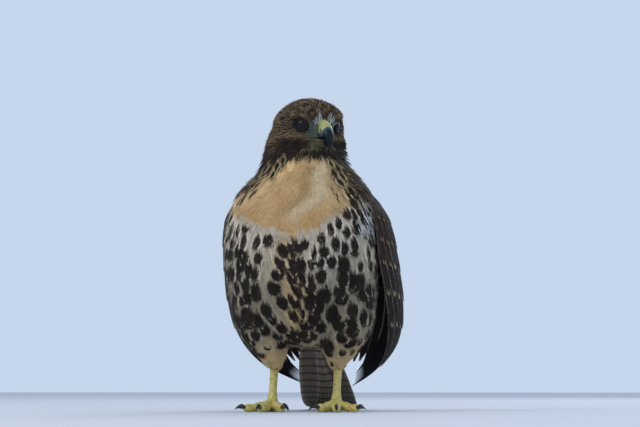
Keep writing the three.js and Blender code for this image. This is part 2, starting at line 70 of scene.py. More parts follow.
# Outlines of the trunk and the left thigh at their heights
TRUNK_POWER = 0.92
TRUNK = {
    "z": [76, 82, 92, 108, 130, 156, 181, 205, 225, 242, 256, 269, 283, 298, 312, 324, 333],
    "half": [22, 50, 68, 79, 86, 90, 91, 89.5, 86.5, 82, 73.5, 61.5, 52.5, 48.5, 45.5, 41, 27],
    "front": [-2, -28, -47, -61, -72, -79, -80, -77.5, -74, -70, -65.5, -61.5, -58, -54.5, -49, -41, -26],
    "back": [48, 70, 84, 92, 93, 86, 77, 68, 60, 53, 47, 42, 38.5, 36.5, 34.5, 29, 14],
    "shift": [0, -1, -1, -1, -2, -2.5, -2.5, -2, -1, 1, 2.5, 4, 2, 1, 1.5, 2.5, 5],
}
THIGH = {
    "z": [145, 130, 114, 98, 83, 69, 58, 50],
    "side": [50, 49, 48, 46, 43.5, 40, 37.5, 36.5],
    "along": [-8, -8, -5, 0, 6, 11, 15, 17],
    "wide": [28, 34, 35, 33.5, 29, 21, 13, 8.5],
    "deep": [28, 42, 46, 44, 37, 27, 17, 10.5],
}

# The skull's reach each way, its swellings and hollows (direction, height, spread), and the ridge over an
# eye (place, half width, half height)
SKULL = {"side": 37, "forward": 36, "back": 55, "up": 33.5, "down": 60}
SKULL_FORMS = [
    ((0, -38, -2), 4, 17), ((23, -22, 21), 4, 18), ((26, -26, 1), -3, 14), ((17, -33, -3), -3.5, 13),
    ((36, -2, -15), 4, 26), ((0, 44, -10), 3, 30), ((33, 20, -2), 4.5, 28), ((0, -24, 30), -1.5, 24),
    ((0, -30, -26), -3, 20),
]
BROW = [
    ((11.5, -29, 9), 3.5, 2.6), ((17.5, -25, 12.6), 7, 4.6),
    ((22, -17, 13.8), 8, 5), ((24.5, -4, 13.6), 5, 3.4),
]

# Lines down a wing's sheet from the shoulder to the tip, how far the left one is spread, and the tail's line
LEADING = [
    (58, -8, 262), (86, -12, 222), (93, 4, 170), (93, 46, 118), (84, 97, 80), (60, 155, 49), (24, 226, 26),
]
OUTER = [
    (62, 14, 265), (92, 14, 222), (101, 38, 170), (101, 72, 121), (90, 112, 84), (62, 162, 53), (25, 228, 29),
]
INNER = [
    (42, 14, 268), (26, 65, 230), (18, 89, 187), (15, 107, 149), (15, 133, 114), (16, 177, 74), (19, 229, 36),
]
OUTER_AT = 0.4
WING_REACH = {1: 26, -1: 0}
WING_SPREAD = {1: 5.6, -1: -7}
SHOULDER_SINK = 6.3
TAIL_LINE = [(0, 58, 118), (0, 98, 90), (0, 140, 60), (0, 184, 32), (0, 226, 11.2), (0, 266, 4.45)]
TAIL_WIDE = 100

# Vanes: half widths along them, steps between neighbours, and the tail's pairs
FLIGHT = [0.45, 0.8, 0.94, 1.0, 1.0, 0.95, 0.82, 0.56, 0.2]
COVERT = [0.5, 0.85, 1.0, 1.0, 0.96, 0.84, 0.6, 0.25]
CONTOUR = [0.4, 0.75, 0.95, 1.0, 1.0, 0.95, 0.8, 0.42]
NARROW = [0.5, 0.8, 1.0, 0.95, 0.8, 0.6, 0.35, 0.12]
VANE_STEP, VANE_ARCH, ROOT_SINK = 0.55, 0.5, 1.6
TAIL_PAIRS, TAIL_HALF, TAIL_STEP, TAIL_ROOT, TAIL_TIP = 6, 12.5, 0.62, 0.16, 0.995

# The bill and cere: upper and lower outline as (forward, up), and half widths
CERE = (
    [(28, 9.4), (38, 8.4), (44.8, 5.2), (48.9, 1.4)],
    [(28, -11.6), (37, -11.8), (42.8, -11.9), (45.7, -11.9)],
    [10.5, 8.2, 6.9, 6.3],
)
UPPER_BILL = (
    [(48.4, 1.1), (52.6, -2.8), (55.8, -8.2), (57.2, -14.4), (56.9, -20), (55.2, -25.6)],
    [(45, -11.8), (48.4, -12.3), (50.6, -13.3), (52.3, -15.8), (53.6, -20.2), (54.5, -25.2)],
    [6.0, 5.8, 5.1, 4, 2.7, 0.5],
)
LOWER_BILL = (
    [(28, -12.2), (38, -12.3), (44.4, -12.5), (48.2, -13.8)],
    [(28, -19), (38, -18.2), (44.6, -17), (48.4, -15.6)],
    [10, 6.8, 5.2, 2.2],
)
NOSTRIL, NOSTRIL_SIZE, NOSTRIL_DEPTH = (-43.2, -3.9), (2.7, 2.2), 1.7

# Shank: height, place back, half width and half depth. Toes: turn from straight ahead, length, thickness at
# the root and the end, and the claw's length
SHANK = [(49.65, 17, 5, 6), (38, 12.5, 4.6, 5.6), (24, 7, 4.6, 5.4), (14, 3, 6.2, 6.6), (8, 1, 7.2, 7.4)]
TOES = {
    "inner": (-30, 34, 6.2, 4.9, 21), "middle": (8, 46, 6.0, 4.6, 18),
    "outer": (50, 37, 5.6, 4.4, 16), "hind": (196, 27, 6.4, 5.1, 23),
}
TOE_ROOT, TOE_END, SCUTE, RIDGE, RIDGE_STEP = 9.2, 4.5, 0.12, 0.22, 2.6
PAD_HEIGHT, PAD_RADIUS, PAD_TAPER = 9, 7.0, 0.8
CLAW_RISE, CLAW_BEND, CLAW_HEIGHT, CLAW_INSET = 27, 74, 5.1, 1.8
CLAW_RADIUS = [3.1, 3, 2.6, 2, 1.3, 0.35]
FLOOR_GAP = 0.05

# The view from the front, low before the bird: turn, distance, how far below its middle, and that middle
VIEW_TURN, VIEW_FAR, VIEW_LOW = 8, 2200, 197
VIEW_ACROSS, VIEW_HEIGHT, VIEW_WIDE = 18.4, 227, 736

# How the plumage is laid: candidates to a place, the gap that stands for none, and a blob's place and reach
TRIES, NO_FEATHER = 5, 99
BLOB_AT, BLOB_REACH = 0.7, 0.25
UV_PATCH = 0.003


# Numbers

def through(values, t):
    """Catmull-Rom values at t from 0 to 1, where values may be numbers or points."""
    v = np.asarray(values, float)
    x = np.clip(np.asarray(t, float), 0, 1) * (len(v) - 1)
    i = np.minimum(x.astype(int), len(v) - 2)
    f = x - i if v.ndim == 1 else (x - i)[..., None]
    v = np.concatenate([[2 * v[0] - v[1]], v, [2 * v[-1] - v[-2]]])
    a, b, c, d = (v[i + k] for k in range(4))
    return b + 0.5 * f * (c - a + f * (2 * a - 5 * b + 4 * c - d + f * (3 * (b - c) + d - a)))


def unit(v):
    return v / np.maximum(np.linalg.norm(v, axis=-1, keepdims=True), 1e-9)


def ease(x, low, high):
    f = np.clip((x - low) / (high - low), 0, 1)
    return f * f * (3 - 2 * f)


def stacked(*values):
    """Points from their coordinates, spread over one grid."""
    return np.stack(np.broadcast_arrays(*values), -1)


def angles(count):
    """Even steps round a circle, as one row."""
    return np.linspace(0, 2 * np.pi, count, endpoint=False)[None, :]


def near(x, far, full):
    """1 for values within full of nought, 0 for those beyond far."""
    return ease(-abs(x), -far, -full)


def rgb(r, g, b):
    """A screen colour, 0 to 255, as a linear one."""
    c = np.array([r, g, b]) / 255
    return np.where(c <= 0.04045, c / 12.92, ((c + 0.055) / 1.055) ** 2.4)


def head_turn():
    """The head's turn to its left and its nod, as a matrix."""
    y, n = math.radians(HEAD_YAW), math.radians(HEAD_NOD)
    yaw = np.array([[math.cos(y), -math.sin(y), 0], [math.sin(y), math.cos(y), 0], [0, 0, 1]])
    return yaw @ np.array([[1, 0, 0], [0, math.cos(n), -math.sin(n)], [0, math.sin(n), math.cos(n)]])


HEAD = head_turn()


def turned(points):
    return np.asarray(points, float) @ HEAD.T


def in_head(points):
    return HEAD_CENTRE + turned(points)


def to_head(points):
    return (points - HEAD_CENTRE) @ HEAD


def eye_frame(side):
    """The way an eye looks, and its centre, in the head's own frame."""
    turn = math.radians(EYE_TURN)
    axis = unit(np.array([side * math.sin(turn), -math.cos(turn), 0.05]))
    return axis, EYE_APEX * [side, 1, 1] - axis * EYE_RADIUS


# The frame's origin is the middle of the whole bird's box, so the eye says where the bird's own origin lies.
low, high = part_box("eye_left")
ORIGIN = np.array((low + high) / 2) / MM - in_head(eye_frame(1)[1])


# Meshes

def grid_faces(rows, columns, wrap_columns=False, wrap_rows=False):
    """Quads of a grid of points, row by row, which may close on itself either way."""
    i, j = np.indices((rows - (not wrap_rows), columns - (not wrap_columns)))
    k, m = (j + 1) % columns, (i + 1) % rows
    quads = np.stack([i * columns + j, i * columns + k, m * columns + k, m * columns + j], -1)
    return quads.reshape(-1, 4).tolist()


def grid_triangles(rows, columns):
    return [half for a, b, c, d in grid_faces(rows, columns) for half in ([a, b, c], [a, c, d])]


def tube_faces(rows, columns):
    """A closed skin round rings of points, with a fan at each end round two extra points after the rings."""
    n = rows * columns
    faces = grid_faces(rows, columns, wrap_columns=True)
    for j in range(columns):
        k = (j + 1) % columns
        faces += [[n, k, j], [n + 1, n - columns + j, n - columns + k]]
    return faces


def closed_rings(rings):
    """Points and faces of a body through rings of equal length."""
    rows, columns, _ = rings.shape
    points = np.concatenate([rings.reshape(-1, 3), [rings[0].mean(0)], [rings[-1].mean(0)]])
    return points, tube_faces(rows, columns)


def joined(parts):
    """Points and faces of several bodies as one."""
    faces, start = [], 0
    for points, own in parts:
        faces += [[i + start for i in face] for face in own]
        start += len(points)
    return np.concatenate([points for points, _ in parts]), faces


def placed(name, data):
    obj = bpy.data.objects.new(name, data)
    bpy.context.scene.collection.objects.link(obj)
    return obj


def on_bird(name, mesh, material, slot):
    mesh.shade_smooth()
    mesh.materials.append(material)
    obj = placed(name, mesh)
    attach(obj, "root")
    return obj


def in_metres(points):
    return (points + ORIGIN) * MM


def mesh_object(name, points, faces, material, slot):
    """A piece of the bird from points in its own millimetres."""
    mesh = bpy.data.meshes.new(name)
    mesh.from_pydata(in_metres(points), [], faces)
    mesh.update()
    return on_bird(name, mesh, material, slot)


def own_points(obj):
    """A mesh's points in the bird's own millimetres."""
    return mesh_values(obj, "co") / MM - ORIGIN


def mesh_values(obj, key):
    values = np.zeros(len(obj.data.vertices) * 3)
    obj.data.vertices.foreach_get(key, values)
    return values.reshape(-1, 3)


def remeshed(name, rings, material, slot, voxel, rounds, shaped):
    """One smooth surface round several bodies; shaped(points) has the last word on its points."""
    obj = mesh_object(name, *joined([closed_rings(r) for r in rings]), material, slot)
    remesh = obj.modifiers.new("remesh", "REMESH")
    remesh.mode = "VOXEL"
    remesh.voxel_size = voxel * MM
    obj.modifiers.new("smooth", "SMOOTH").iterations = rounds
    mesh = bpy.data.meshes.new_from_object(obj.evaluated_get(bpy.context.evaluated_depsgraph_get()))
    obj.modifiers.clear()
    obj.data = mesh
    mesh.vertices.foreach_set("co", in_metres(shaped(own_points(obj))).ravel())
    mesh.update()
    mesh.materials.clear()
    mesh.materials.append(material)
    mesh.shade_smooth()
    return obj


def set_attribute(obj, name, values, kind="FLOAT"):
    """A number, vector or colour (without its fourth value) for each point."""
    if kind == "FLOAT_COLOR":
        values = np.concatenate([values, np.ones((len(values), 1))], 1)
    field = {"FLOAT": "value", "FLOAT_VECTOR": "vector", "FLOAT_COLOR": "color"}[kind]
    data = obj.data.attributes.new(name, kind, "POINT").data
    data.foreach_set(field, np.ascontiguousarray(values, np.float32).ravel())


# The body's forms

def trunk_rings(rows, columns, grow):
    t, turn = np.linspace(0, 1, rows)[:, None], angles(columns)
    z, half, front, back, shift = (through(values, t) for values in TRUNK.values())
    half, front, back = half + grow, front - grow, back + grow
    c, s = (np.sign(v) * abs(v) ** TRUNK_POWER for v in (np.cos(turn), np.sin(turn)))
    y = (front + back) / 2 + (back - front) / 2 * s
    return stacked(shift + half * c, y, z + np.where(t == 0, -grow, 0))


def skull_radius(d):
    along = np.where(d[..., 1] < 0, SKULL["forward"], SKULL["back"])
    high = np.where(d[..., 2] > 0, SKULL["up"], SKULL["down"])
    r = 1 / np.sqrt((d[..., 0] / SKULL["side"]) ** 2 + (d[..., 1] / along) ** 2 + (d[..., 2] / high) ** 2)
    for (x, y, z), height, spread in SKULL_FORMS:
        for side in ((1, -1) if x else (1,)):
            angle = np.arccos(np.clip(d @ unit(np.array([x * side, y, z], float)), -1, 1))
            r = r + height * np.exp(-((angle / math.radians(spread)) ** 2))
    return r


def skull_rings(rows, columns, grow):
    rise, turn = (np.arange(1, rows)[:, None] / rows - 0.5) * np.pi, angles(columns)
    d = stacked(np.sin(turn) * np.cos(rise), -np.cos(turn) * np.cos(rise), np.sin(rise))
    return in_head(d * (skull_radius(d) + grow)[..., None])


def thigh_rings(side, rows, columns, grow):
    t, turn = np.linspace(0, 1, rows)[:, None], angles(columns)
    z, aside, along, wide, deep = (through(values, t) for values in THIGH.values())
    return stacked(side * (aside + (wide + grow) * np.cos(turn)), along + (deep + grow) * np.sin(turn), z)


def brow_rings(side, rows=10, columns=12):
    place, wide, tall = zip(*BROW)
    t, turn = np.linspace(0, 1, rows), angles(columns)[..., None]
    line = through(np.array(place) * [side, 1, 1], t)
    wide, tall = (through(values, t)[:, None, None] for values in (wide, tall))
    along = unit(np.gradient(line, axis=0))
    across = unit(np.cross([0, 0, 1], along))
    up = np.cross(along, across)
    return in_head(line[:, None] + across[:, None] * wide * np.cos(turn) + up[:, None] * tall * np.sin(turn))


# Sheets: the curved faces on which the flight feathers lie, u along them and v across

def wing_sheet(side):
    def line(points, forward, out):
        p = np.array(points, float)
        k = np.sin(np.pi * np.arange(len(p)) / (len(p) - 1))
        return np.stack([side * (p[:, 0] - 0.3 * forward * k + out * k), p[:, 1] - forward * k, p[:, 2]], -1)

    spread, m = WING_SPREAD[side], OUTER_AT
    lead = line(LEADING, WING_REACH[side], spread / 2)
    outer, inner = line(OUTER, 0, spread), line(INNER, 0, 0)

    def sheet(u, v):
        v = v[..., None]
        return (through(lead, u) * (v - m) * (v - 1) / m + through(outer, u) * v * (v - 1) / (m * (m - 1))
                + through(inner, u) * v * (v - m) / (1 - m))

    return sheet


def tail_sheet(u, v):
    return through(TAIL_LINE, u) + stacked((v - 0.5) * TAIL_WIDE, 0.0, 0.0)


def sheet_normal(sheet, u, v, outside):
    d = 0.01
    du = sheet(np.clip(u + d, 0, 1), v) - sheet(np.clip(u - d, 0, 1), v)
    n = unit(np.cross(du, sheet(u, v + d) - sheet(u, v - d)))
    return n * np.sign(n @ np.asarray(outside, float))[..., None]


# Skin: one closed surface under the feathers of the head, neck, body and thighs

def build_skin(material):
    rings = [trunk_rings(60, 72, -COAT_DEPTH), skull_rings(48, 72, -HEAD_COAT)]
    rings += [brow_rings(side) for side in SIDES] + [thigh_rings(side, 30, 36, -THIGH_COAT) for side in SIDES]
    skin = remeshed("skin", rings, material, "breast_feathers", SKIN_VOXEL, SKIN_ROUNDS, with_sockets)
    looks = body_looks(own_points(skin), mesh_values(skin, "normal"))
    for key in ("ground", "mark"):
        set_attribute(skin, key, looks[key], "FLOAT_COLOR")
    set_attribute(skin, "amount", looks["spot"][:, 0])
    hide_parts("head", "neck", "torso", "thigh_left", "thigh_right")
    return skin


def eye_coordinates(points, side):
    """Distance from the eye's axis and place along it, from the eye's centre."""
    axis, centre = eye_frame(side)
    rel = to_head(points) - centre
    along = rel @ axis
    return np.linalg.norm(rel - along[:, None] * axis, axis=1), along


def with_sockets(points):
    """The skin, pressed in behind the eyes."""
    for side in SIDES:
        axis = turned(eye_frame(side)[0])
        far, along = eye_coordinates(points, side)
        seat = np.sqrt(np.maximum(EYE_RADIUS ** 2 - far ** 2, 9)) - 2.0
        push = np.where(along > 0, np.maximum(along - seat, 0) * (1 - ease(far, *SOCKET)), 0)
        points = points - axis * push[:, None]
    return points


def surface_tree(obj):
    polygons = [tuple(p.vertices) for p in obj.data.polygons]
    return BVHTree.FromPolygons([Vector(p) for p in own_points(obj)], polygons)


def sprinkled(obj, density, count=None):
    """Random places on a surface and the normals there. density(points) is how many lie on a square
    millimetre, or only in proportion if their count is given."""
    mesh = obj.data
    mesh.calc_loop_triangles()
    index = np.zeros(len(mesh.loop_triangles) * 3, int)
    mesh.loop_triangles.foreach_get("vertices", index)
    a, b, c = own_points(obj)[index.reshape(-1, 3).T]
    cross = np.cross(b - a, c - a)
    want = np.linalg.norm(cross, axis=1) / 2 * density((a + b + c) / 3)
    count = count or int(want.sum())
    pick = rng.choice(len(want), size=count, p=want / want.sum())
    r1, r2 = np.sqrt(rng.random(count))[:, None], rng.random(count)[:, None]
    return a[pick] * (1 - r1) + b[pick] * r1 * (1 - r2) + c[pick] * r1 * r2, unit(cross[pick])


def scattered(obj, spacing):
    """Places on a surface that keep their distance, with the normal and the distance there."""
    at, normal = sprinkled(obj, lambda points: TRIES / spacing(points) ** 2)
    gap = spacing(at)
    kept, taken = [], np.zeros((3, len(at)))
    for i in np.nonzero(gap < NO_FEATHER)[0]:
        far = ((taken[:, :len(kept)] - at[i][:, None]) ** 2).sum(0)
        if far.min(initial=np.inf) >= gap[i] ** 2:
            taken[:, len(kept)] = at[i]
            kept.append(i)
    return at[kept], normal[kept], gap[kept]


# The lie of the plumage

def seen(p):
    """Sideways place and height of points on an upright plane through the bird, from low before it."""
    a = math.radians(VIEW_TURN)
    ahead = p[:, 0] * math.sin(a) - p[:, 1] * math.cos(a)
    grow = VIEW_FAR / (VIEW_FAR - ahead)
    x = VIEW_ACROSS + (p[:, 0] * math.cos(a) + p[:, 1] * math.sin(a) - VIEW_ACROSS) * grow
    return x, VIEW_HEIGHT + (p[:, 2] - VIEW_HEIGHT + ahead * VIEW_LOW / VIEW_FAR) * grow


def lie(p, n):
    """The way the feathers point, along the surface."""
    x, z = seen(p)
    front = ease(-n[:, 1], -0.2, 0.4)
    parting = front * near(x + 24, 26, 10) * near(z - 145, 65, 40)
    locks = front * 0.22 * np.sin(0.5 * x + 1.9 * np.sin(0.31 * z))
    side = front * near(z - 250, 38, 18) * (0.5 * ease(x, 20, 55) - 0.55 * ease(-x, 15, 50))
    back = 0.12 + (1 - front) * 0.5 + ease(-p[:, 2], -125, -85) * 0.8
    head = ease(p[:, 2], 282, 306)[:, None]
    d = unit(stacked(0.45 * parting + locks + side, back, -1.0)) * (1 - head) + head_lie(to_head(p)) * head
    return unit(d - n * (d * n).sum(-1, keepdims=True))


def head_lie(h):
    """The same on the head: away from the bill, in tufts."""
    out = unit(h - [0, -42, 0]) + [0, 0.2, -0.25]
    out[:, 2] += 0.4 * np.sin(0.36 * h[:, 1] + 0.3 * h[:, 2]) * ease(h[:, 1], -30, -22)
    return unit(turned(out))


def feather_paths(tree, at, normal, length, steps=5):
    """Lines along the surface from each root, with the surface's normal at every step."""
    places, normals = [at], [normal]
    for _ in range(steps - 1):
        target = places[-1] + lie(places[-1], normals[-1]) * (length / (steps - 1))[:, None]
        hits = [tree.find_nearest(Vector(q)) for q in target]
        places.append(np.array([h[0] for h in hits]))
        normals.append(unit(np.array([h[1] for h in hits])))
    places, normals = np.stack(places, 1), np.stack(normals, 1)
    smooth = normals.copy()
    smooth[:, 1:-1] = unit(normals[:, :-2] + 2 * normals[:, 1:-1] + normals[:, 2:])
    return places, smooth


def feather_spacing(p):
    """Distance from one feather's root to the next, in millimetres."""
    x, z = seen(p)
    front = ease(-p[:, 1], -10, 10)
    body = 8.6 + (0.6 + 3.0 * ease(-z, -236, -160)) * front
    body = body + (4.0 - body) * ease(-bib_distance(x, z - 16), -3, 3) * front
    body = body + (6.4 - body) * ease(-p[:, 2], -88, -56)
    neck = 4.4 + 2.8 * near(bib_distance(x, z) - 15, 27, 18)
    head = 3.1 - 1.2 * ease(-to_head(p)[:, 1], 6, 26)
    gap = body + (neck - body) * ease(p[:, 2], 228, 252)
    gap = gap + (head - gap) * ease(p[:, 2], 282, 306)
    return np.where(bare(p), NO_FEATHER, gap)


def bare(p):
    """Places without feathers: the eyes and the roots of the bill."""
    h = to_head(p)
    open_place = (abs(h[:, 0]) < 6.5) & (h[:, 1] < -36) & (h[:, 2] > -16) & (h[:, 2] < 6)
    for side in SIDES:
        far, along = eye_coordinates(p, side)
        open_place |= (far < EYE_BARE) & (along > 0)
    return open_place


def skin_unwrap(p):
    """Each root's place on the skin unrolled round its middle line: once round by height along the body."""
    round_body = np.arctan2(p[:, 0] - 5, -p[:, 1]) / (2 * np.pi) + 0.5
    return np.stack([round_body, (p[:, 2] - 40) / 330], -1) * 0.98 + 0.005


# Feather shapes: points as (sideways in half widths, place across, share of the length), and triangles

def soft_feather(seed, profile, spikes, tip_spikes, ragged):
    """A vane that ends all round in loose barbs."""
    r = np.random.default_rng(seed)
    rows = np.array([0, 0.2, 0.4, 0.58, 0.74, 0.86, 0.93])
    columns = np.array([-1, -0.5, 0, 0.5, 1]) * 0.9
    x = (columns * through(profile, rows)[:, None]).ravel().tolist()
    s = np.tile(columns, len(rows)).tolist()
    t = np.repeat(rows, len(columns)).tolist()
    faces = grid_triangles(len(rows), len(columns))
    for side in (-1, 1):
        for k in range(spikes):
            t0 = 0.25 + 0.66 * (k + 0.6 * r.random()) / spikes
            t1 = min(t0 + 1.1 / spikes, 0.93)
            t += [t0, t1, t1 + 0.04 + 0.07 * r.random()]
            w0, w1 = (float(through(profile, v)) for v in (t0, t1))
            x += [side * w0 * 0.8, side * w1 * 0.8, side * (w1 * 0.92 + ragged * (0.25 + r.random()))]
            s += [side * 0.85, side * 0.85, side * 1.1]
            n = len(x) - 3
            faces.append([n, n + 1, n + 2] if side > 0 else [n + 1, n, n + 2])
    w, half = float(through(profile, 0.93)), 1.1 / tip_spikes
    for k in range(tip_spikes):
        f = (k + 0.5) / tip_spikes * 2 - 1
        x += [w * (f - half), w * (f + half), w * f * 1.35 + 0.12 * (r.random() - 0.5)]
        s += [f * 0.7, f * 0.7, f * 0.9]
        t += [0.9, 0.9, 0.99 + ragged * (0.05 + 0.3 * r.random()) - 0.06 * abs(f)]
        faces.append([len(x) - 3, len(x) - 2, len(x) - 1])
    return np.array(x), np.array(s), np.array(t), np.array(faces)


def wisp(seed, bend):
    """A narrow loose barb or bristle of three lengths."""
    rows = np.array([0, 0.35, 0.7, 1.0])
    width = np.array([1, 0.9, 0.6, 0.05])
    curve = bend * (np.random.default_rng(seed).random() - 0.5) * rows ** 2
    faces = [half for i in range(3) for half in ([i, i + 4, i + 5], [i, i + 5, i + 1])]
    return (np.concatenate([curve - width, curve + width]), np.concatenate([-width, width]),
            np.concatenate([rows, rows]), np.array(faces))


def flight_vane(seed, profile, ragged, rows):
    """A firm vane: fine grid, edges nicked here and there, the tip round."""
    t = np.linspace(0, 1, rows) ** 0.9
    columns = np.array([-1, -0.72, -0.4, -0.12, 0, 0.12, 0.4, 0.72, 1.0])
    nicks = (1 + ragged * (np.random.default_rng(seed).random((rows, 2)) - 0.5))[:, [0] * 4 + [1] * 5]
    x = (columns * (through(profile, t)[:, None] * nicks)).ravel()
    end = np.where(np.arange(rows) == rows - 1, 0.012, 0)[:, None] * (1 - columns ** 2)
    return x, np.tile(columns, rows), (t[:, None] + end).ravel(), np.array(grid_triangles(rows, len(columns)))


# Feathers as meshes

COLOURS = ("ground", "mark", "rim")


def feather_mesh(name, groups, material, slot, field=None):
    """One joined mesh of groups of feathers, each with its points, its shape and the feathers' own values.
    field(points) says how far a dark mark colours a point."""
    chunks = {key: [] for key in ("co", "faces", "uv", "vane", "spot", *COLOURS)}
    start = 0
    for co, (_, s, t, faces), own in groups:
        count, size = co.shape[:2]
        patch = np.stack([s * 0.4 + 0.5, t * 0.85], -1) * UV_PATCH
        chunks["co"].append(co)
        chunks["faces"].append(faces + (start + np.arange(count) * size)[:, None, None])
        chunks["uv"].append(own["root"][:, None] + patch)
        chunks["vane"].append(stacked(t, s, own["seed"]))
        for key in ("spot", *COLOURS):
            chunks[key].append(np.repeat(np.broadcast_to(own[key], (count, 3)), size, 0))
        start += count * size
    mesh = {key: np.concatenate([v.reshape(-1, v.shape[-1]) for v in values])
            for key, values in chunks.items()}
    if field:
        marked = field(mesh["co"])
        for key in COLOURS:
            mesh[key] = blended(mesh[key], mesh["mark"], marked)
    obj = fast_mesh(name, mesh["co"], mesh["faces"], mesh["uv"], material, slot)
    for key in ("vane", "spot", *COLOURS):
        set_attribute(obj, key, mesh[key], "FLOAT_COLOR" if key in COLOURS else "FLOAT_VECTOR")
    return obj


def fast_mesh(name, points, faces, uv, material, slot):
    mesh = bpy.data.meshes.new(name)
    mesh.vertices.add(len(points))
    mesh.vertices.foreach_set("co", in_metres(points).astype(np.float32).ravel())
    mesh.loops.add(len(faces) * 3)
    mesh.loops.foreach_set("vertex_index", faces.astype(np.int32).ravel())
    mesh.polygons.add(len(faces))
    mesh.polygons.foreach_set("loop_start", np.arange(len(faces), dtype=np.int32) * 3)
    mesh.update(calc_edges=True)
    layer = mesh.uv_layers.new(name="OFBake")
    layer.data.foreach_set("uv", uv[faces.ravel()].astype(np.float32).ravel())
    return on_bird(name, mesh, material, slot)


def picked(coat, ids):
    return {key: values[ids] for key, values in coat.items()}


def plumage(name, shapes, coat, lift, material, slot, camber=0.0, field=None):
    """Feathers along their paths. Their height over the surface starts at lift[0] and grows by their own top
    with the power lift[1] of the share of their length."""
    steps = coat["places"].shape[1]
    kind = rng.integers(0, len(shapes), len(coat["at"]))
    groups = []
    for k, shape in enumerate(shapes):
        x, _, t, _ = shape
        own = picked(coat, kind == k)
        own.update(seed=rng.random((len(own["at"]), 1)), root=skin_unwrap(own["at"]))
        f = np.clip(t, 0, 1.15) * (steps - 1)
        i = np.minimum(f.astype(int), steps - 2)
        g = (f - i)[:, None]
        places, normals, half = own["places"], own["normals"], own["half"][:, None]
        n = unit(normals[:, i] * (1 - g) + normals[:, i + 1] * g)
        across = unit(np.cross(n, unit(places[:, i + 1] - places[:, i])))
        height = lift[0] + own["top"][:, None] * np.clip(t, 0, 1) ** lift[1] - camber * x ** 2 * half
        middle = places[:, i] * (1 - g) + places[:, i + 1] * g
        groups.append((middle + across * (x * half)[..., None] + n * height[..., None], shape, own))
    return feather_mesh(name, groups, material, slot, field)


# Plumage colours, as they lie on the bird

BROWN = rgb(60, 49, 41)
DARK = rgb(38, 30, 25)
TAWNY = rgb(126, 101, 72)
BUFF = rgb(230, 197, 146)
ORANGE = rgb(214, 168, 106)
CREAM = rgb(238, 224, 190)
WHITE = rgb(230, 217, 196)
DOWN = rgb(226, 227, 224)
GREY = rgb(124, 113, 98)
OLIVE = rgb(118, 112, 86)
LORE = rgb(106, 114, 104)

# The unmarked bib: height, and its left and right edge, as they are seen from the front
BIB = np.array([
    (205, -20, 5), (209, -34, 11), (216, -54, 18), (223, -68, 24), (230, -74, 33), (238, -74, 43),
    (246, -60, 38), (253, -50, 31), (261, -40, 28), (268, -31, 27), (274, -22, 24), (280, -13, 22),
    (285, -8, 20), (288, -4, 18),
], float)


def bib_distance(x, z):
    """How far outside the bib a place is; below zero inside it."""
    left, right = (np.interp(z, BIB[:, 0], BIB[:, k]) for k in (1, 2))
    return np.maximum(np.maximum(left - x, x - right), np.maximum(BIB[0, 0] - z, z - BIB[-1, 0]))


def blended(base, colour, weight):
    return base * (1 - weight[:, None]) + colour * weight[:, None]


def tint(looks, weight, **new):
    """Blend new values into the named ones, as far as the weight says for each feather."""
    for key, value in new.items():
        w = weight if looks[key].ndim == 1 else weight[:, None]
        looks[key] = looks[key] * (1 - w) + value * w


def body_looks(p, n):
    """Each feather's ground, mark and rim colour, and its spot: mark's size and width, rim's strength."""
    x, z = seen(p)
    r = rng.random((len(p), 4))
    drift = 3.5 * np.sin(0.19 * x + 1.3) + 2.5 * np.sin(0.43 * x + 0.11 * z)
    at = SimpleNamespace(p=p, x=x, z=z, r=r, drift=drift, front=ease(-n[:, 1], -0.45, -0.1),
                         out=bib_distance(x, z) + drift + 7 * (r[:, 0] - 0.5))
    looks = {
        "ground": BROWN * (0.75 + 0.5 * r[:, :1]), "mark": DARK * (0.7 + 0.8 * r[:, 1:2] ** 2),
        "rim": TAWNY * (0.75 + 0.5 * r[:, 2:3]),
        "size": np.full(len(p), 2.0), "width": np.full(len(p), 0.3), "edge": np.full(len(p), 0.6),
    }
    for region in (belly_looks, neck_looks, parting_looks, bib_looks, thigh_looks, collar_looks, crown_looks):
        region(looks, at)
    spot = np.stack([looks.pop(key) for key in ("size", "width", "edge")], -1)
    return {**looks, "spot": spot}


def belly_looks(looks, at):
    """White belly and flanks, greyer lower down (partly their own grey-buff, partly painted shade), with dark
    blobs that grow downwards.
    """
    x, z, r = at.x, at.z, at.r
    belly, low = at.front * ease(-z, -244, -222), ease(-z, -205, -110)
    # greyer lower down, and at random there: partly the belly's own grey-buff, partly painted shade on the
    # lower belly
    white = blended(WHITE, GREY, np.clip(0.08 + 0.6 * low + 0.3 * r[:, 3] * low, 0, 1))
    white = blended(white, rgb(186, 166, 134), (0.2 + 0.5 * low) * r[:, 2])
    thick = np.sin(0.11 * x + 0.6) * np.cos(0.09 * z) + 0.6 * np.sin(0.23 * x - 0.17 * z)
    tint(looks, belly, ground=white, rim=white * 1.05, edge=0.12)
    tint(looks, belly > 0.4, size=1.32 - 0.06 * low + 0.12 * thick + 0.35 * (r[:, 1] - 0.5),
         width=0.84 + 0.18 * low + 0.14 * thick + 0.5 * (r[:, 3] - 0.5))


def neck_looks(looks, at):
    """Buff with dark streaks next to the bib, brown further out."""
    side = at.front * ease(at.z, 212, 232) * ease(-at.out, -30, -16) * ease(-at.z, -292, -284)
    tint(looks, side * (0.92 - 0.35 * ease(at.out, 6, 22)), ground=BUFF * 0.8)
    tint(looks, side, rim=BUFF * 0.76)
    tint(looks, 0.8 * side, edge=0)
    tint(looks, side > 0.3, size=1.4, width=0.46 + 0.4 * ease(at.out, 0, 18) + 0.2 * (at.r[:, 1] - 0.5))


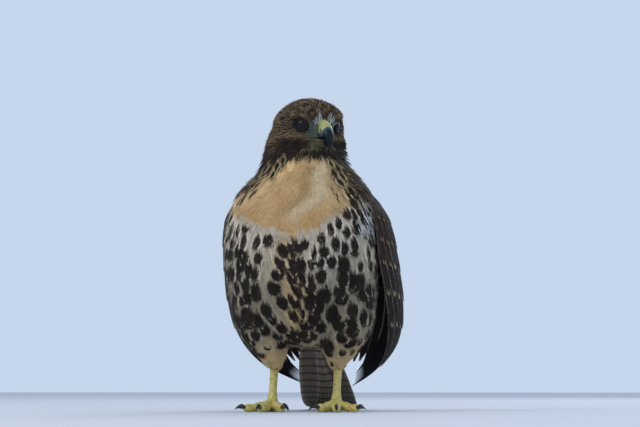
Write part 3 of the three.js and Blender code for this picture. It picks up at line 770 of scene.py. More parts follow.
def parting_looks(looks, at):
    """A buff parting down the middle with narrow dark streaks."""
    x, z = at.x, at.z
    middle = at.front * near(x + 14 + 0.10 * (z - 150), 17, 6)
    middle = middle * ease(-z, -206, -190) * ease(z, 70, 95)
    tint(looks, middle * 0.9, ground=BUFF * 0.72)
    tint(looks, middle, rim=BUFF * 0.7)
    looks["size"] += 0.2 * middle
    looks["width"] *= 1 - 0.24 * middle


def bib_looks(looks, at):
    """The plain bib, orange in clouds, with a cream stripe of painted highlight down it and a stripe of
    painted shade beside that, where a fold would fall.
    """
    x, z, r = at.x, at.z, at.r
    bib = at.front * ease(-at.out, -4, 3)
    cloud = 0.5 + 0.5 * np.sin(x * 0.13 + 2.1 * np.sin(z * 0.07)) * np.cos(z * 0.11 + 0.05 * x)
    highlight_line = x - 0.62 * (z - 240) - 5 + 6 * np.sin(0.12 * z)
    # painted highlight: pale lays a soft cream stripe down the bib along that line
    pale = near(highlight_line, 16, 2) * 0.6 * ease(z, 205, 225)
    warm = blended(blended(BUFF, ORANGE, 0.5 * cloud * (1 - pale)), CREAM, pale)
    # painted shade: the bib darkened in a stripe beside the highlight, where a fold would shade it
    warm = warm * (1 - 0.2 * near(highlight_line + 17, 10, 2) * ease(z, 212, 232))[:, None]
    warm = blended(warm, ORANGE, ease(-z, -240, -212) * 0.35)
    tint(looks, bib, ground=warm * (0.95 + 0.1 * r[:, :1]), rim=warm, edge=0)
    tint(looks, bib > 0.7, size=r[:, 2] > 0.98, width=0.5)


def thigh_looks(looks, at):
    """Vent and thighs: buff, with a small mark on every other feather."""
    thigh = ease(-at.p[:, 2] + 7 * np.sin(0.15 * at.x) + 14 * (at.r[:, 0] - 0.5), -84, -62)
    tint(looks, thigh, ground=BUFF * 0.7, rim=CREAM * 0.75)
    tint(looks, thigh > 0.5, size=0.7 * (at.r[:, 1] > 0.5), width=0.5)
    tint(looks, 0.6 * thigh, edge=0)


def collar_looks(looks, at):
    """A dark streaky collar below the head."""
    collar = near(at.z - 296 + 0.2 * abs(at.x - 6), 10, 6) * at.front
    most = at.r[:, 3] > 0.15
    tint(looks, collar * most * 0.9, ground=DARK * 1.1)
    tint(looks, collar * 0.9, rim=BROWN)
    tint(looks, (collar > 0.5) & most, size=2.4)


def crown_looks(looks, at):
    """The head, with a dark streak along each shaft."""
    head = ease(at.z + 0.4 * at.drift, 295, 301) * at.front + ease(at.p[:, 2], 290, 301) * (1 - at.front)
    own = head_looks(to_head(at.p), at.r)
    tint(looks, head > 0.5, size=2.4, width=own.pop("width"))
    tint(looks, head, **own)


def head_looks(h, r):
    """Ground and rim colour, streak width and rim strength of the head's feathers, in its own frame."""
    x, y, z = abs(h[:, 0]), h[:, 1], h[:, 2]
    patch = (np.sin(0.55 * h[:, 0] + 1.7 * np.sin(0.31 * y)) * np.sin(0.47 * y + 0.4 * z))[:, None]
    looks = {
        "ground": rgb(60, 48, 41) * (0.5 + 0.5 * r[:, :1] + 0.25 * patch),
        "rim": rgb(166, 136, 104) * np.clip(0.15 + 1.1 * r[:, 1:2] ** 2 + 0.5 * patch, 0.12, 1.5),
        "width": np.full(len(h), 0.5), "edge": np.full(len(h), 0.95),
    }
    fleck = (r[:, 3] > 0.93) * ease(z, -18, -8)
    tint(looks, fleck * 0.9, rim=rgb(190, 164, 134))
    tint(looks, fleck * 0.6, ground=rgb(112, 88, 68))
    over_eye = near(z - 14 - 0.10 * y, 5, 2) * ease(x, 13, 19) * ease(-y, -24, 2)
    tint(looks, over_eye * 0.8, ground=rgb(112, 96, 66))
    cheek = near(z + 6, 15, 8) * ease(x, 17, 24) * ease(y, -26, -18)
    tint(looks, cheek * 0.8, ground=rgb(78, 62, 48) * (0.8 + 0.4 * r[:, :1]))
    tint(looks, cheek, rim=rgb(142, 118, 86) * (0.6 + 0.7 * r[:, 1:2]))
    behind_eye = ease(-np.hypot(y + 6, z - 3), -14, -8) * ease(x, 22, 28)
    tint(looks, behind_eye * 0.7, ground=DARK)
    face_looks(looks, x, y, z)
    return looks


def face_looks(looks, x, y, z):
    """The pale line under the eye, the dark moustache, the chin, the lores and the feathers by the bill."""
    under = near(z + 9.5 - 0.1 * y, 3.0, 0.6) * ease(-y, 4, 18) * ease(x, 9, 13)
    tint(looks, under * 0.75, ground=rgb(122, 110, 82))
    tint(looks, under * 0.8, rim=rgb(142, 127, 96))
    malar = near(z + 23 - 0.1 * y, 12, 7) * ease(x, 9, 15) * ease(y, -32, -24) * ease(-y, -4, 12)
    tint(looks, malar * 0.95, ground=rgb(26, 22, 20))
    tint(looks, malar, rim=TAWNY * 0.3)
    tint(looks, malar * 0.5, edge=0)
    chin = ease(-x, -16, -11) * ease(-z, 12, 17) * ease(-y, -6, 6)
    tint(looks, chin, ground=OLIVE, rim=OLIVE, width=0.12, edge=0.2)
    lore = ease(-y, 23, 30) * near(z + 2, 13, 9) * ease(-x, -20, -15)
    tint(looks, lore * 0.9, ground=LORE * 0.75)
    tint(looks, lore, rim=LORE * 1.15)
    by_bill = ease(-x, -11, -8) * ease(-y, 33.5, 36) * ease(z, -2, 4)
    tint(looks, by_bill * 0.7, ground=rgb(82, 84, 78))
    tint(looks, by_bill, rim=rgb(112, 114, 106))


# The coat: contour feathers, and loose barbs and bristles over them

def build_body_coat(skin, tree, material):
    """Contour feathers on the skin; the answer is the field of their dark marks."""
    at, normal, gap = scattered(skin, feather_spacing)
    x, z = seen(at)
    inside = ease(-bib_distance(x, z - 14), -4, 3) * ease(-at[:, 1], -10, 10)
    length = gap * (2.8 + 0.9 * inside) * (0.82 + 0.4 * rng.random(len(at)))
    h = to_head(at)
    jowl = ease(h[:, 0], 20, 30) * near(h[:, 2] + 20, 14, 6) * ease(-h[:, 1], -30, -10)
    rise = 3.2 - 1.6 * inside - 1.5 * ease(at[:, 2], 286, 304) + 4.0 * jowl
    places, normals = feather_paths(tree, at, normal, length)
    coat = {"at": at, "places": places, "normals": normals, "half": gap * 0.78, "length": length, "top": rise,
            **body_looks(places[:, 3], normal)}
    soft = [soft_feather(k, CONTOUR, 20, 14, 0.3) for k in range(6)]
    small = [soft_feather(k + 20, NARROW, 6, 4, 0.3) for k in range(6)]
    front, z = normal[:, 1] < 0.2, at[:, 2]
    groups = {
        "coat_head": (z >= 300, small, "head_feathers"),
        "coat_neck": ((z < 300) & (z >= 262), small, "head_feathers"),
        "coat_breast": ((z < 262) & (z >= 190) & front, soft, "breast_feathers"),
        "coat_belly": ((z < 190) & (z >= 110) & front, soft, "breast_feathers"),
        "coat_thighs": (z < 110, soft, "breast_feathers"),
        "coat_back": ((z < 262) & (z >= 110) & ~front, soft, "wing_feathers"),
    }
    for name, (mask, shapes, slot) in groups.items():
        part = picked(coat, mask)
        part["top"] += 0.8 * (rng.random(len(part["top"])) - 0.5)
        plumage(name, shapes, part, (0.35, 1.3), material, slot, camber=0.16)
    return marks_over(coat)


def marks_over(coat):
    """A field that says how dark a place is by the blobs and streaks of the feathers there."""
    size, width, _ = coat["spot"].T
    has = np.nonzero((size > 0.3) & (size < 1.8) & (coat["half"] > 4.2))[0]
    places = coat["places"][has]
    middle, way = places[:, 3], unit(places[:, 4] - places[:, 2])
    long, wide = BLOB_REACH * size[has] * coat["length"][has], width[has] * coat["half"][has]
    tree = KDTree(len(has))
    for k, p in enumerate(middle):
        tree.insert(p, k)
    tree.balance()

    def field(points):
        ids = np.array([[k for _, k, _ in tree.find_n(p, 3)] for p in points])
        rel = points[:, None] - middle[ids]
        down = (rel * way[ids]).sum(-1)
        aside = np.linalg.norm(rel - down[..., None] * way[ids], axis=-1)
        far = np.sqrt((down / long[ids]) ** 2 + (aside / wide[ids]) ** 2)
        return 1 - ease(far.min(1), 0.8, 1.0)

    return field


def on_bib(p):
    return ease(-bib_distance(*seen(p)), -3, 3) * ease(-p[:, 1], -10, 10)


def on_head(p):
    return ease(p[:, 2], 284, 300) * ~bare(p)


def on_neck(p):
    return near(p[:, 2] - 266, 40, 24) * (1 - on_bib(p))


def on_belly(p):
    return ease(-p[:, 2], -232, -214) * ease(p[:, 2], 66, 80)


def by_wing(p):
    """The fluffed flank that spills over the front edge of the left wing."""
    x, z = seen(p)
    return near(x - 70, 13, 5) * near(z - 222, 26, 8) * (p[:, 1] < 10)


BARBS = {
    # count, length, half width, rise, where, slot
    "barbs_bib": (15000, 10, 0.4, 1.9, on_bib, "breast_feathers"),
    "barbs_head": (5200, 5, 0.15, 1.2, on_head, "head_feathers"),
    "barbs_neck": (8000, 8, 0.24, 1.8, on_neck, "head_feathers"),
    "barbs_belly": (15000, 12, 0.3, 3.2, on_belly, "breast_feathers"),
    "barbs_flank": (120, 15, 0.36, 4.6, by_wing, "breast_feathers"),
}


def build_barbs(skin, tree, field, material):
    """Fine loose barbs: dense on the bib and head, thin over the belly, long at the flanks."""
    barbs = [wisp(k, 1.6) for k in range(8)]
    for name, (count, length, half, rise, where, slot) in BARBS.items():
        at, normal = sprinkled(skin, where, count)
        places, normals = feather_paths(tree, at, normal, length * (0.7 + 0.6 * rng.random(count)), 4)
        looks = body_looks(places[:, 2], normal)
        looks["spot"] *= 0
        if name == "barbs_flank":
            looks["ground"] = np.tile(DOWN, (count, 1))
        if name == "barbs_head":
            tint(looks, 0.7 * (rng.random(count) < 0.5), ground=looks["rim"])
        half = half * (0.7 + 0.6 * rng.random(count))
        top = rise + 2.5 * rng.random(count) ** 3
        coat = {"at": at, "places": places, "normals": normals, "half": half, "top": top, **looks}
        marked = name in ("barbs_neck", "barbs_belly")
        plumage(name, barbs, coat, (0.4, 1.2), material, slot, field=field if marked else None)


BRISTLES = {
    # count, length, half width, bend, colour, the way their flat side faces, then the root and the way of
    # share a of the group, for the left side
    "forehead": (46, 8.5, 0.26, 0, rgb(196, 198, 192), (0, -1, 0.4),
                 lambda a, r: (11 - 6.5 * a + 3.5 * r[0], -35.5 - 1.5 * a, 9.5 * a),
                 lambda a, r: (0.45 - 0.3 * a + 0.8 * r[4], -0.35, 0.7 + 0.5 * a + 0.5 * r[5])),
    "lore": (300, 8.4, 0.34, 1.2, rgb(92, 99, 92), (1, -0.3, 0.1),
             lambda a, r: (9.6 + 1.0 * r[0], -30.5 - 2 * abs(r[2]), -10.5 + 15 * a),
             lambda a, r: (-0.12 + 0.1 * r[4], -1.0, -0.12 + 0.3 * r[5])),
    "chin": (360, 13, 0.36, 1.2, rgb(96, 90, 68), (1, -0.3, 0.1),
             lambda a, r: (9.6 - 3 * a + 2.4 * r[0], -30 - 6 * abs(r[2]), -13.2 - 8 * a),
             lambda a, r: (-0.25 + 0.12 * r[4], -1.0, -0.02 - 0.1 * abs(r[5]))),
}


def build_bristles(material):
    """White ones up both sides of the forehead, grey ones along the cere's side, olive ones below it."""
    for name, (count, length, half, bend, colour, face, root_at, way_at) in BRISTLES.items():
        side = np.where(rng.random(count) < 0.4, 1.0, -1.0)
        share, r = rng.random(count), rng.random((6, count)) - 0.5
        root, way, face = (stacked(*value, share)[:, :3] * stacked(side, 1, 1)
                           for value in (root_at(share, r), way_at(share, r), face))
        long = (length * (0.7 + 0.6 * rng.random(count)))[:, None, None]
        t = np.linspace(0, 1, 4)[None, :, None]
        line = root[:, None] + unit(way)[:, None] * long * t
        line[..., 0] += bend * side[:, None] * np.sin(np.pi * t[..., 0])
        tone = colour * (0.45 + 0.95 * rng.random((count, 1)))
        normals = turned(unit(face[:, None] + 0 * line))
        coat = {"at": in_head(root), "places": in_head(line), "normals": normals,
                "half": np.full(count, half), "top": np.zeros(count),
                "ground": tone, "rim": tone, "mark": tone, "spot": np.zeros((count, 3))}
        plumage("bristles_" + name, [wisp(k, 1.2) for k in range(6)], coat, (0, 1), material, "head_feathers")


# Materials

def put(socket, value):
    """Join a worked-out value to an input, or set it."""
    if isinstance(value, Value):
        socket.id_data.links.new(value.socket, socket)
    else:
        socket.default_value = value


def worked(operation, *values):
    """A number worked out by a node from others, one of which at least is worked out itself."""
    tree = next(v.socket.id_data for v in values if isinstance(v, Value))
    node = tree.nodes.new("ShaderNodeMath")
    node.operation = operation
    for socket, value in zip(node.inputs, values):
        put(socket, value)
    return Value(node.outputs[0])


def operator(operation):
    return lambda *values: worked(operation, *values)


class Value:
    """A number or colour that a material's nodes work out at each point."""

    def __init__(self, socket):
        self.socket = socket

    __add__, __sub__, __mul__ = operator("ADD"), operator("SUBTRACT"), operator("MULTIPLY")
    __truediv__, __pow__, __abs__ = operator("DIVIDE"), operator("POWER"), operator("ABSOLUTE")


class Graph:
    """A material with short ways to add and join nodes."""

    def __init__(self, name, roughness, **own):
        self.material = bpy.data.materials.new(name)
        self.material.use_nodes = True
        self.nodes = self.material.node_tree.nodes
        self.shader = self.nodes["Principled BSDF"]
        for key, value in {"Roughness": roughness, **own}.items():
            self.shader.inputs[key.replace("_", " ")].default_value = value

    def node(self, kind, output, inputs, **settings):
        node = self.nodes.new("ShaderNode" + kind)
        for key, value in settings.items():
            setattr(node, key, value)
        for key, value in inputs.items():
            put(node.inputs[key], value)
        return Value(node.outputs[output])

    def step(self, value, low, high):
        ends = {"Value": value, "From Min": low, "From Max": high}
        return self.node("MapRange", "Result", ends, interpolation_type="SMOOTHSTEP")

    def mix(self, factor, a, b, kind="MIX"):
        a, b = (v if isinstance(v, Value) else (*v, 1.0) for v in (a, b))
        return self.node("Mix", 2, {0: factor, 6: a, 7: b}, data_type="RGBA", blend_type=kind)

    def attribute(self, name, output="Fac"):
        return self.node("Attribute", output, {}, attribute_name=name)

    def split(self, name):
        """The three numbers of a vector attribute."""
        node = self.nodes.new("ShaderNodeSeparateXYZ")
        put(node.inputs[0], self.attribute(name, "Vector"))
        return [Value(socket) for socket in node.outputs]

    def place(self):
        return self.node("NewGeometry", "Position", {})

    def noise(self, scale, detail=3.0):
        return self.node("TexNoise", 0, {"Scale": scale, "Detail": detail, "Vector": self.place()})

    def cells(self, scale):
        return self.node("TexVoronoi", "Distance", {"Scale": scale, "Vector": self.place()})

    def shaded(self, colour, shade):
        """The colour times a number."""
        grey = self.node("CombineColor", 0, {0: shade, 1: shade, 2: shade})
        return self.mix(1.0, colour, grey, "MULTIPLY")

    def bump(self, height, strength, distance):
        bump = self.node("Bump", 0, {"Strength": strength, "Distance": distance, "Height": height})
        put(self.shader.inputs["Normal"], bump)

    def colour(self, value):
        put(self.shader.inputs["Base Color"], value)
        return self.material


def plumage_material(name, centre, reach, barbs=26, gloss=0.8, bars=None, sides=1.0, sheen=0.03):
    """Feathers: ground, dark mark or bars, pale rim and barbs, all read from each vane's own values."""
    g = Graph(name, gloss, Sheen_Weight=sheen, Sheen_Roughness=0.5, Specular_IOR_Level=0.12)
    along, side, seed = g.split("vane")
    size, width, rim = g.split("spot")
    across = abs(side)
    fine = g.noise(1500, 2.0) - 0.5
    wobble = (g.noise(420) - 0.5) * 0.8 + fine * 0.45
    edge = worked("MAXIMUM", (across + wobble) * sides, along * 4.2 - 3.25)
    ground, rim_colour, mark = (g.attribute(key, "Color") for key in ("ground", "rim", "mark"))
    colour = g.mix(g.step(edge, 0.62, 0.95) * rim, ground, rim_colour)

    down = (along - centre) / worked("MAXIMUM", size * reach, 0.001)
    taper = g.step(down, -1.0, 0.3) * 0.4 + 0.6
    wide = across / worked("MAXIMUM", width * taper, 0.001)
    far = (abs(down) ** 2.6 + wide ** 2.6) ** 0.385
    marks = g.step(far + wobble, 1.15, 0.9) * g.step(size, 0.05, 0.2)
    if bars:
        phase = worked("FRACT", along * bars + seed * 0.12) + wobble * 0.12
        marks = worked("MAXIMUM", marks, g.step(abs(phase - 0.5), 0.14, 0.08) * size)
    colour = g.mix(marks, colour, mark)

    # fine lines from the shaft outwards and on
    barb = worked("SINE", (along - across * 0.22) * (6.283 * barbs)) * 0.5 + 0.5
    g.bump(barb, 0.25, 0.0002)
    return g.colour(g.shaded(colour, barb * 0.12 + seed * 0.14 + 0.84 + fine * 0.2))


def skin_material():
    """Down under the feathers, coloured as they are and darkened unevenly as painted shade under them."""
    g = Graph("down", 0.9, Sheen_Weight=0.2)
    g.bump(g.noise(500), 0.6, 0.001)
    spots = g.step(g.cells(95), 0.34, 0.26) * g.attribute("amount")
    spotted = g.mix(spots, g.attribute("ground", "Color"), g.attribute("mark", "Color"))
    # painted shade: the down darkened to 0.62 to 0.92 of its colour, by noise
    return g.colour(g.shaded(spotted, g.noise(300) * 0.3 + 0.62))


def eye_material():
    g = Graph("wet_eye", 0.3, Coat_Weight=0.02, Coat_Roughness=0.2, Specular_IOR_Level=0.24)
    iris = g.step(g.attribute("ring") + g.noise(900) * 0.02, 0.36, 0.42)
    return g.colour(g.mix(iris, rgb(2, 5, 11), rgb(6, 13, 24)))


def lid_material():
    g = Graph("eye_rim", 0.6, Specular_IOR_Level=0.2)
    g.bump(g.noise(2500), 0.4, 0.0002)
    return g.colour(g.mix(g.noise(700), rgb(8, 8, 9), rgb(26, 24, 24)))


def bill_material():
    g = Graph("horn", 0.3, Coat_Weight=0.06, Coat_Roughness=0.15, Specular_IOR_Level=0.2)
    growth = g.noise(160, 4.0)
    tip = g.mix(growth, rgb(3, 9, 16), rgb(8, 20, 32))
    pale = g.mix(growth, rgb(46, 68, 82), rgb(72, 94, 108))
    g.bump(g.noise(500, 2.0), 0.08, 0.0003)
    return g.colour(g.mix(g.step(g.attribute("base"), 0.15, 0.95), tip, pale))


def cere_material():
    g = Graph("cere_wax", 0.38, Coat_Weight=0.2, Subsurface_Weight=0.1, Subsurface_Scale=0.002)
    wax = g.mix(g.noise(260), rgb(150, 148, 88), rgb(170, 168, 110))
    wax = g.mix(g.attribute("low"), wax, rgb(72, 84, 92))
    g.bump(g.noise(900), 0.25, 0.0003)
    # painted shade: the nostril pits near-black, for the shade inside the holes
    return g.colour(g.mix(g.attribute("pit"), wax, rgb(16, 14, 10)))


def foot_material():
    g = Graph("foot_scales", 0.5, Coat_Weight=0.08)
    scale = g.cells(420)
    skin = g.mix(g.noise(90), rgb(190, 172, 88), rgb(214, 198, 120))
    g.bump(scale * -1 + 1, 0.6, 0.0006)
    return g.colour(g.mix(g.step(scale, 0.55, 0.85) * 0.6, skin, rgb(120, 104, 52)))


def claw_material():
    g = Graph("claw_horn", 0.3, Coat_Weight=0.2)
    g.bump(g.noise(300), 0.1, 0.0003)
    return g.colour(g.mix(g.noise(120), rgb(20, 19, 21), rgb(40, 38, 40)))


# Wings and tail: vanes in overlapping tiers on their sheets

WING_ROWS = [
    # count, roots, tips, height, reach, colour
    (9, [(0.42, 0.10), (0.42, 0.50)], [(0.995, 0.32), (0.93, 0.70)], 0.6, 0.95, "flight"),
    (13, [(0.36, 0.10), (0.42, 0.96)], [(0.80, 0.13), (0.88, 0.97)], 2.0, 0.9, "secondary"),
    (15, [(0.24, 0.07), (0.28, 0.96)], [(0.57, 0.09), (0.66, 0.97)], 3.3, 0.9, "covert"),
    (15, [(0.16, 0.06), (0.20, 0.95)], [(0.44, 0.06), (0.52, 0.96)], 4.4, 0.9, "covert"),
    (15, [(0.10, 0.05), (0.13, 0.95)], [(0.34, 0.05), (0.40, 0.95)], 5.4, 0.9, "lesser"),
    (14, [(0.06, 0.05), (0.08, 0.93)], [(0.26, 0.04), (0.30, 0.94)], 6.2, 0.85, "lesser"),
    (13, [(0.02, 0.06), (0.04, 0.90)], [(0.18, 0.05), (0.22, 0.92)], 6.8, 0.85, "lesser"),
    (12, [(-0.01, 0.08), (0.0, 0.86)], [(0.11, 0.07), (0.14, 0.88)], 7.2, 0.85, "lesser"),
    (5, [(0.14, 0.70), (0.16, 1.0)], [(0.47, 0.76), (0.55, 0.99)], 6.4, 0.85, "scapular"),
    (5, [(0.06, 0.68), (0.08, 0.99)], [(0.36, 0.72), (0.42, 0.98)], 7.4, 0.85, "scapular"),
    (5, [(0.0, 0.66), (0.01, 0.97)], [(0.24, 0.68), (0.28, 0.97)], 8.0, 0.85, "scapular"),
]
WING_COLOURS = {
    # ground, rim, and (length and width of the shaft's streak, rim strength)
    # flight: near-black ground and dim rims, partly the primaries' own dark brown, partly painted shade where
    # they lie under the flank
    "flight": (rgb(15, 15, 18), rgb(44, 40, 38), (4.0, 0.05, 0.25)),
    "secondary": (rgb(26, 22, 21), rgb(160, 142, 116), (4.0, 0.05, 0.65)),
    "covert": (rgb(33, 27, 24), rgb(184, 164, 134), (4.0, 0.08, 0.72)),
    "lesser": (rgb(42, 34, 29), rgb(152, 122, 90), (4.0, 0.14, 0.85)),
    "scapular": (rgb(50, 41, 36), rgb(198, 182, 154), (4.0, 0.08, 0.7)),
}
WORN = rgb(172, 160, 142)
TAIL_COVERTS = [(7, 0.06, 0.50, 2.4), (7, 0.0, 0.34, 4.2), (6, -0.02, 0.2, 5.6)]


def row_of_vanes(sheet, count, roots, tips, height, sink, reach, shape, outside):
    """Each vane covers its own step of the row and most of the next ones, a little higher than the last."""
    x, _, t, _ = shape
    w = (np.arange(count)[:, None] + x * reach) / (count - 1)
    root, tip = (stacked(*(a + (b - a) * w for a, b in zip(*ends))) for ends in (roots, tips))
    length = 1 + 0.03 * (rng.random((count, 1)) - 0.5)
    u, v = np.moveaxis(root + (tip - root) * (t * length)[..., None], -1, 0)
    rise = height - sink * (1 - ease(u, 0.25, 0.8)) - x * reach * VANE_STEP + VANE_ARCH * (1 - x ** 2)
    rise = rise - ROOT_SINK * (1 - ease(t, -0.05, 0.25))
    normal = sheet_normal(sheet, np.clip(u, 0.01, 0.99), v, outside)
    return sheet(np.clip(u, -0.02, 1.0), v) + normal * rise[..., None], shape


def vane_piece(name, rows, looks, uv_rows, material, slot):
    """Rows of vanes as one joined mesh; looks(row, count) gives their colours."""
    groups = []
    for number, (points, shape) in enumerate(rows):
        count = len(points)
        root = stacked(0.05 + 0.9 * np.arange(count) / count, uv_rows[0] + uv_rows[1] * number)
        own = {"seed": rng.random((count, 1)), "root": root, **looks(number, count)}
        groups.append((points, shape, own))
    return feather_mesh(name, groups, material, slot)


def build_wing(side, material):
    sheet, rows = wing_sheet(side), []
    for number, (count, roots, tips, height, reach, kind) in enumerate(WING_ROWS):
        profile, steps = (FLIGHT, 18) if kind in ("flight", "secondary") else (COVERT, 12)
        shape, outside = flight_vane(60 + number, profile, 0.05, steps), (side, 0.4, 0.2)
        rows.append(row_of_vanes(sheet, count, roots, tips, height, SHOULDER_SINK, reach, shape, outside))

    def looks(number, count):
        ground, rim, spot = WING_COLOURS[WING_ROWS[number][5]]
        vary = 0.75 + 0.5 * rng.random((count, 1))
        worn = (rng.random((count, 1)) > 0.84) * (0 < number < 9)
        rim = rim * (0.55 + 0.5 * rng.random((count, 1))) * (1 - worn) + WORN * worn
        return {"ground": ground * vary, "rim": rim, "mark": DARK * 0.7, "spot": spot + worn * [0, 0, 0.3]}

    obj = vane_piece("wing_vanes_" + SIDES[side], rows, looks, (0.04, 0.085), material, "wing_feathers")
    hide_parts("wing_" + SIDES[side])


def tail_vane(pair, side, shape):
    """One tail feather; the middle pair lies on top."""
    x, _, t, _ = shape
    line = side * (1.6 + (1.2 + 4.0 * t) * pair + 1.2 * t)
    u = TAIL_ROOT + (TAIL_TIP - 0.012 * pair - TAIL_ROOT) * np.minimum(t, 1.0)
    order = (2 * pair + (side < 0)) if pair < 2 else pair + 2
    rise = 1.05 - order * TAIL_STEP - 0.9 * x ** 2
    normal = sheet_normal(tail_sheet, u, np.full_like(u, 0.5), (0, 0.3, 1))
    points = tail_sheet(u, 0.5 + (line + x * TAIL_HALF) / TAIL_WIDE) + normal * rise[:, None]
    return points[None], shape


def build_tail(material):
    """Six pairs of tail feathers under three rows of coverts."""
    shape = flight_vane(90, FLIGHT, 0.03, 26)
    rows = [tail_vane(pair, side, shape) for pair in range(TAIL_PAIRS) for side in SIDES]
    feathers = len(rows)
    for k, (count, root, tip, height) in enumerate(TAIL_COVERTS):
        ends = [(root, 0.30), (root, 0.70)], [(tip, 0.33), (tip, 0.67)]
        shape = flight_vane(100 + k, COVERT, 0.06, 12)
        rows.append(row_of_vanes(tail_sheet, count, *ends, height, 0, 0.9, shape, (0, 0.3, 1)))

    def looks(number, count):
        over = number >= feathers
        ground = rgb(84, 69, 58) if over else rgb(102, 88, 76)
        return {"ground": ground * (0.92 + 0.16 * rng.random((count, 1))), "rim": rgb(206, 192, 168),
                "mark": rgb(50, 41, 36), "spot": (0.3 if over else 0.85, 0.04, 0.3)}

    obj = vane_piece("tail_vanes", rows, looks, (0.03, 0.06), material, "tail_feathers")
    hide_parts("tail")


# Eyes, lids, bill and cere

def head_object(name, points, faces, material, slot):
    return mesh_object(name, in_head(points), faces, material, slot)


def build_eye(side, ball_skin, lid_skin):
    axis, centre = eye_frame(side)
    across = unit(np.cross(axis, [0, 0, 1]))
    up = np.cross(across, axis)
    cut = math.radians(EYE_CUT)
    tilt, turn = np.linspace(0.0, cut, 30)[1:, None, None], angles(48)[..., None]
    ball = np.cos(tilt) * axis + np.sin(tilt) * (np.cos(turn) * across + np.sin(turn) * up)
    points = centre + np.concatenate([ball.reshape(-1, 3), [axis, axis * math.cos(cut)]]) * EYE_RADIUS
    eye = head_object("eyeball_" + SIDES[side], points, tube_faces(29, 48), ball_skin, "eye")
    set_attribute(eye, "ring", np.concatenate([np.repeat(np.sin(tilt), 48), [0, 1]]))
    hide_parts("eye_" + SIDES[side])
    build_lids(side, axis, centre, across, up, lid_skin)


def build_lids(side, axis, centre, across, up, lid_skin):
    """Two folds round the opening, the upper one heavier and set a little forward."""
    b, turn = angles(20)[..., None], angles(72)[0][:, None, None]
    top = np.maximum(np.sin(turn), 0)
    radial = np.cos(turn) * across * 1.08 + np.sin(turn) * up * (0.92 - 0.18 * top)
    line = centre + axis * (6.9 + 0.5 * top) + radial * LID_OPENING
    thick = LID_THICK + 0.35 * top + 0.12 * np.sin(turn * 9)
    rings = line + unit(radial) * np.cos(b) * thick + axis * np.sin(b) * thick * 0.9
    head_object("lids_" + SIDES[side], rings.reshape(-1, 3), grid_faces(72, 20, True, True), lid_skin, "eye")


def sheath(outlines, edge, rows, columns):
    """Body of the bill between an upper and a lower outline, sharp along the edge above (-1) or below (1)."""
    t, turn = np.linspace(0, 1, rows), angles(columns)
    top, under, wide = (through(values, t)[:, None] for values in outlines)
    c = np.cos(turn)
    f = np.sign(c) * abs(c) ** np.where(c * edge > 0, 0.5, 0.95)
    place = (top + under) / 2 + (top - under) / 2 * f[..., None]
    return closed_rings(np.stack([wide * np.sin(turn), -place[..., 0], place[..., 1]], -1))


def build_bill(horn, wax):
    points, faces = sheath(UPPER_BILL, -1, 60, 48)
    upper = head_object("bill_hook", points, faces, horn, "bill")
    set_attribute(upper, "base", np.clip(1 - (-points[:, 1] - 47) / 8, 0, 1) * ease(points[:, 2], -12, -4))
    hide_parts("bill_upper")

    points, faces = sheath(LOWER_BILL, 1, 40, 40)
    lower = head_object("bill_jaw", points, faces, horn, "bill")
    set_attribute(lower, "base", np.clip(1 - (-points[:, 1] - 40) / 10, 0, 1) * 0.25)
    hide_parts("bill_lower")

    points, faces = sheath(CERE, -1, 90, 120)
    pit = with_nostrils(points)
    cere = head_object("cere_wax", points, faces, wax, "cere")
    set_attribute(cere, "pit", pit)
    set_attribute(cere, "low", ease(-points[:, 2] - 0.25 * (44 + points[:, 1]), 3.6, 6.0) * 0.95)
    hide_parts("cere")


def with_nostrils(points):
    """Swell the cere's front edge and press the nostrils in; the answer says where they are."""
    swell = 0.4 * np.exp(-((-points[:, 1] - 46.6 + 0.22 * np.minimum(points[:, 2], 0)) / 1.8) ** 2)
    points[:, 0] += np.sign(points[:, 0]) * np.minimum(swell, abs(points[:, 0]))
    points[:, 2] += swell * ease(points[:, 2], 0, 6)
    off = np.linalg.norm((points[:, 1:] - NOSTRIL) / NOSTRIL_SIZE, axis=1)
    on_side = abs(points[:, 0]) > 4.5
    pit = on_side * (1 - ease(off, 0.55, 1.0))
    rim = on_side * np.exp(-((off - 1.15) / 0.25) ** 2)
    points[:, 0] -= np.sign(points[:, 0]) * (NOSTRIL_DEPTH * pit - 0.3 * rim)
    return pit


# Feet and claws

def round_line(line, across, up, radius, flat, turn):
    """Rings round a line, kept above the floor."""
    aside, above = ((radius * f(turn))[..., None] for f in (np.cos, np.sin))
    rings = line[:, None] + across * aside * flat + up * above
    rings[..., 2] = np.maximum(rings[..., 2], FLOOR_GAP)
    return rings


def shank_rings(side, turn):
    t = np.linspace(0, 1, 40)
    high, back, wide, deep = (through(values, t)[:, None] for values in zip(*SHANK))
    scute = SCUTE * np.sin(np.linspace(0, 11 * np.pi, 40))[:, None] * (np.cos(turn + np.pi / 2) > 0)
    return stacked(side * STANCE + (wide + scute) * np.cos(turn), back + (deep + scute) * np.sin(turn), high)


def pad_rings(start, turn):
    share = np.linspace(0, 1, 8)[:, None]
    radius = PAD_RADIUS + PAD_TAPER * share
    return stacked(start[0] + radius * np.cos(turn), start[1] + radius * np.sin(turn), PAD_HEIGHT * share)


def toe_rings(start, way, length, root, end):
    """A toe with its pads below and scales over its back."""
    k, turn = np.linspace(0, 1, 70), angles(32)
    share = np.interp(k, [0, 0.35, 0.7, 1], [0, 1 / 3, 2 / 3, 1])
    heights = through([TOE_ROOT, TOE_ROOT * 0.75, TOE_END, TOE_END], share)
    line = start + way * (k * length)[:, None] + UP * heights[:, None]
    pads = 3 if length > 30 else 2
    swell = (1 - 0.09 * np.cos(k * pads * 2 * np.pi)) * np.where(k > 0.95, 0.66, 1)
    radius = (root + (end - root) * k) * swell
    ridge = RIDGE * np.sin(k * length / RIDGE_STEP * 2 * np.pi)[:, None] * np.clip(np.sin(turn), 0, 1)
    return round_line(line, np.cross(UP, way), UP, radius[:, None] + ridge, 0.93, turn)


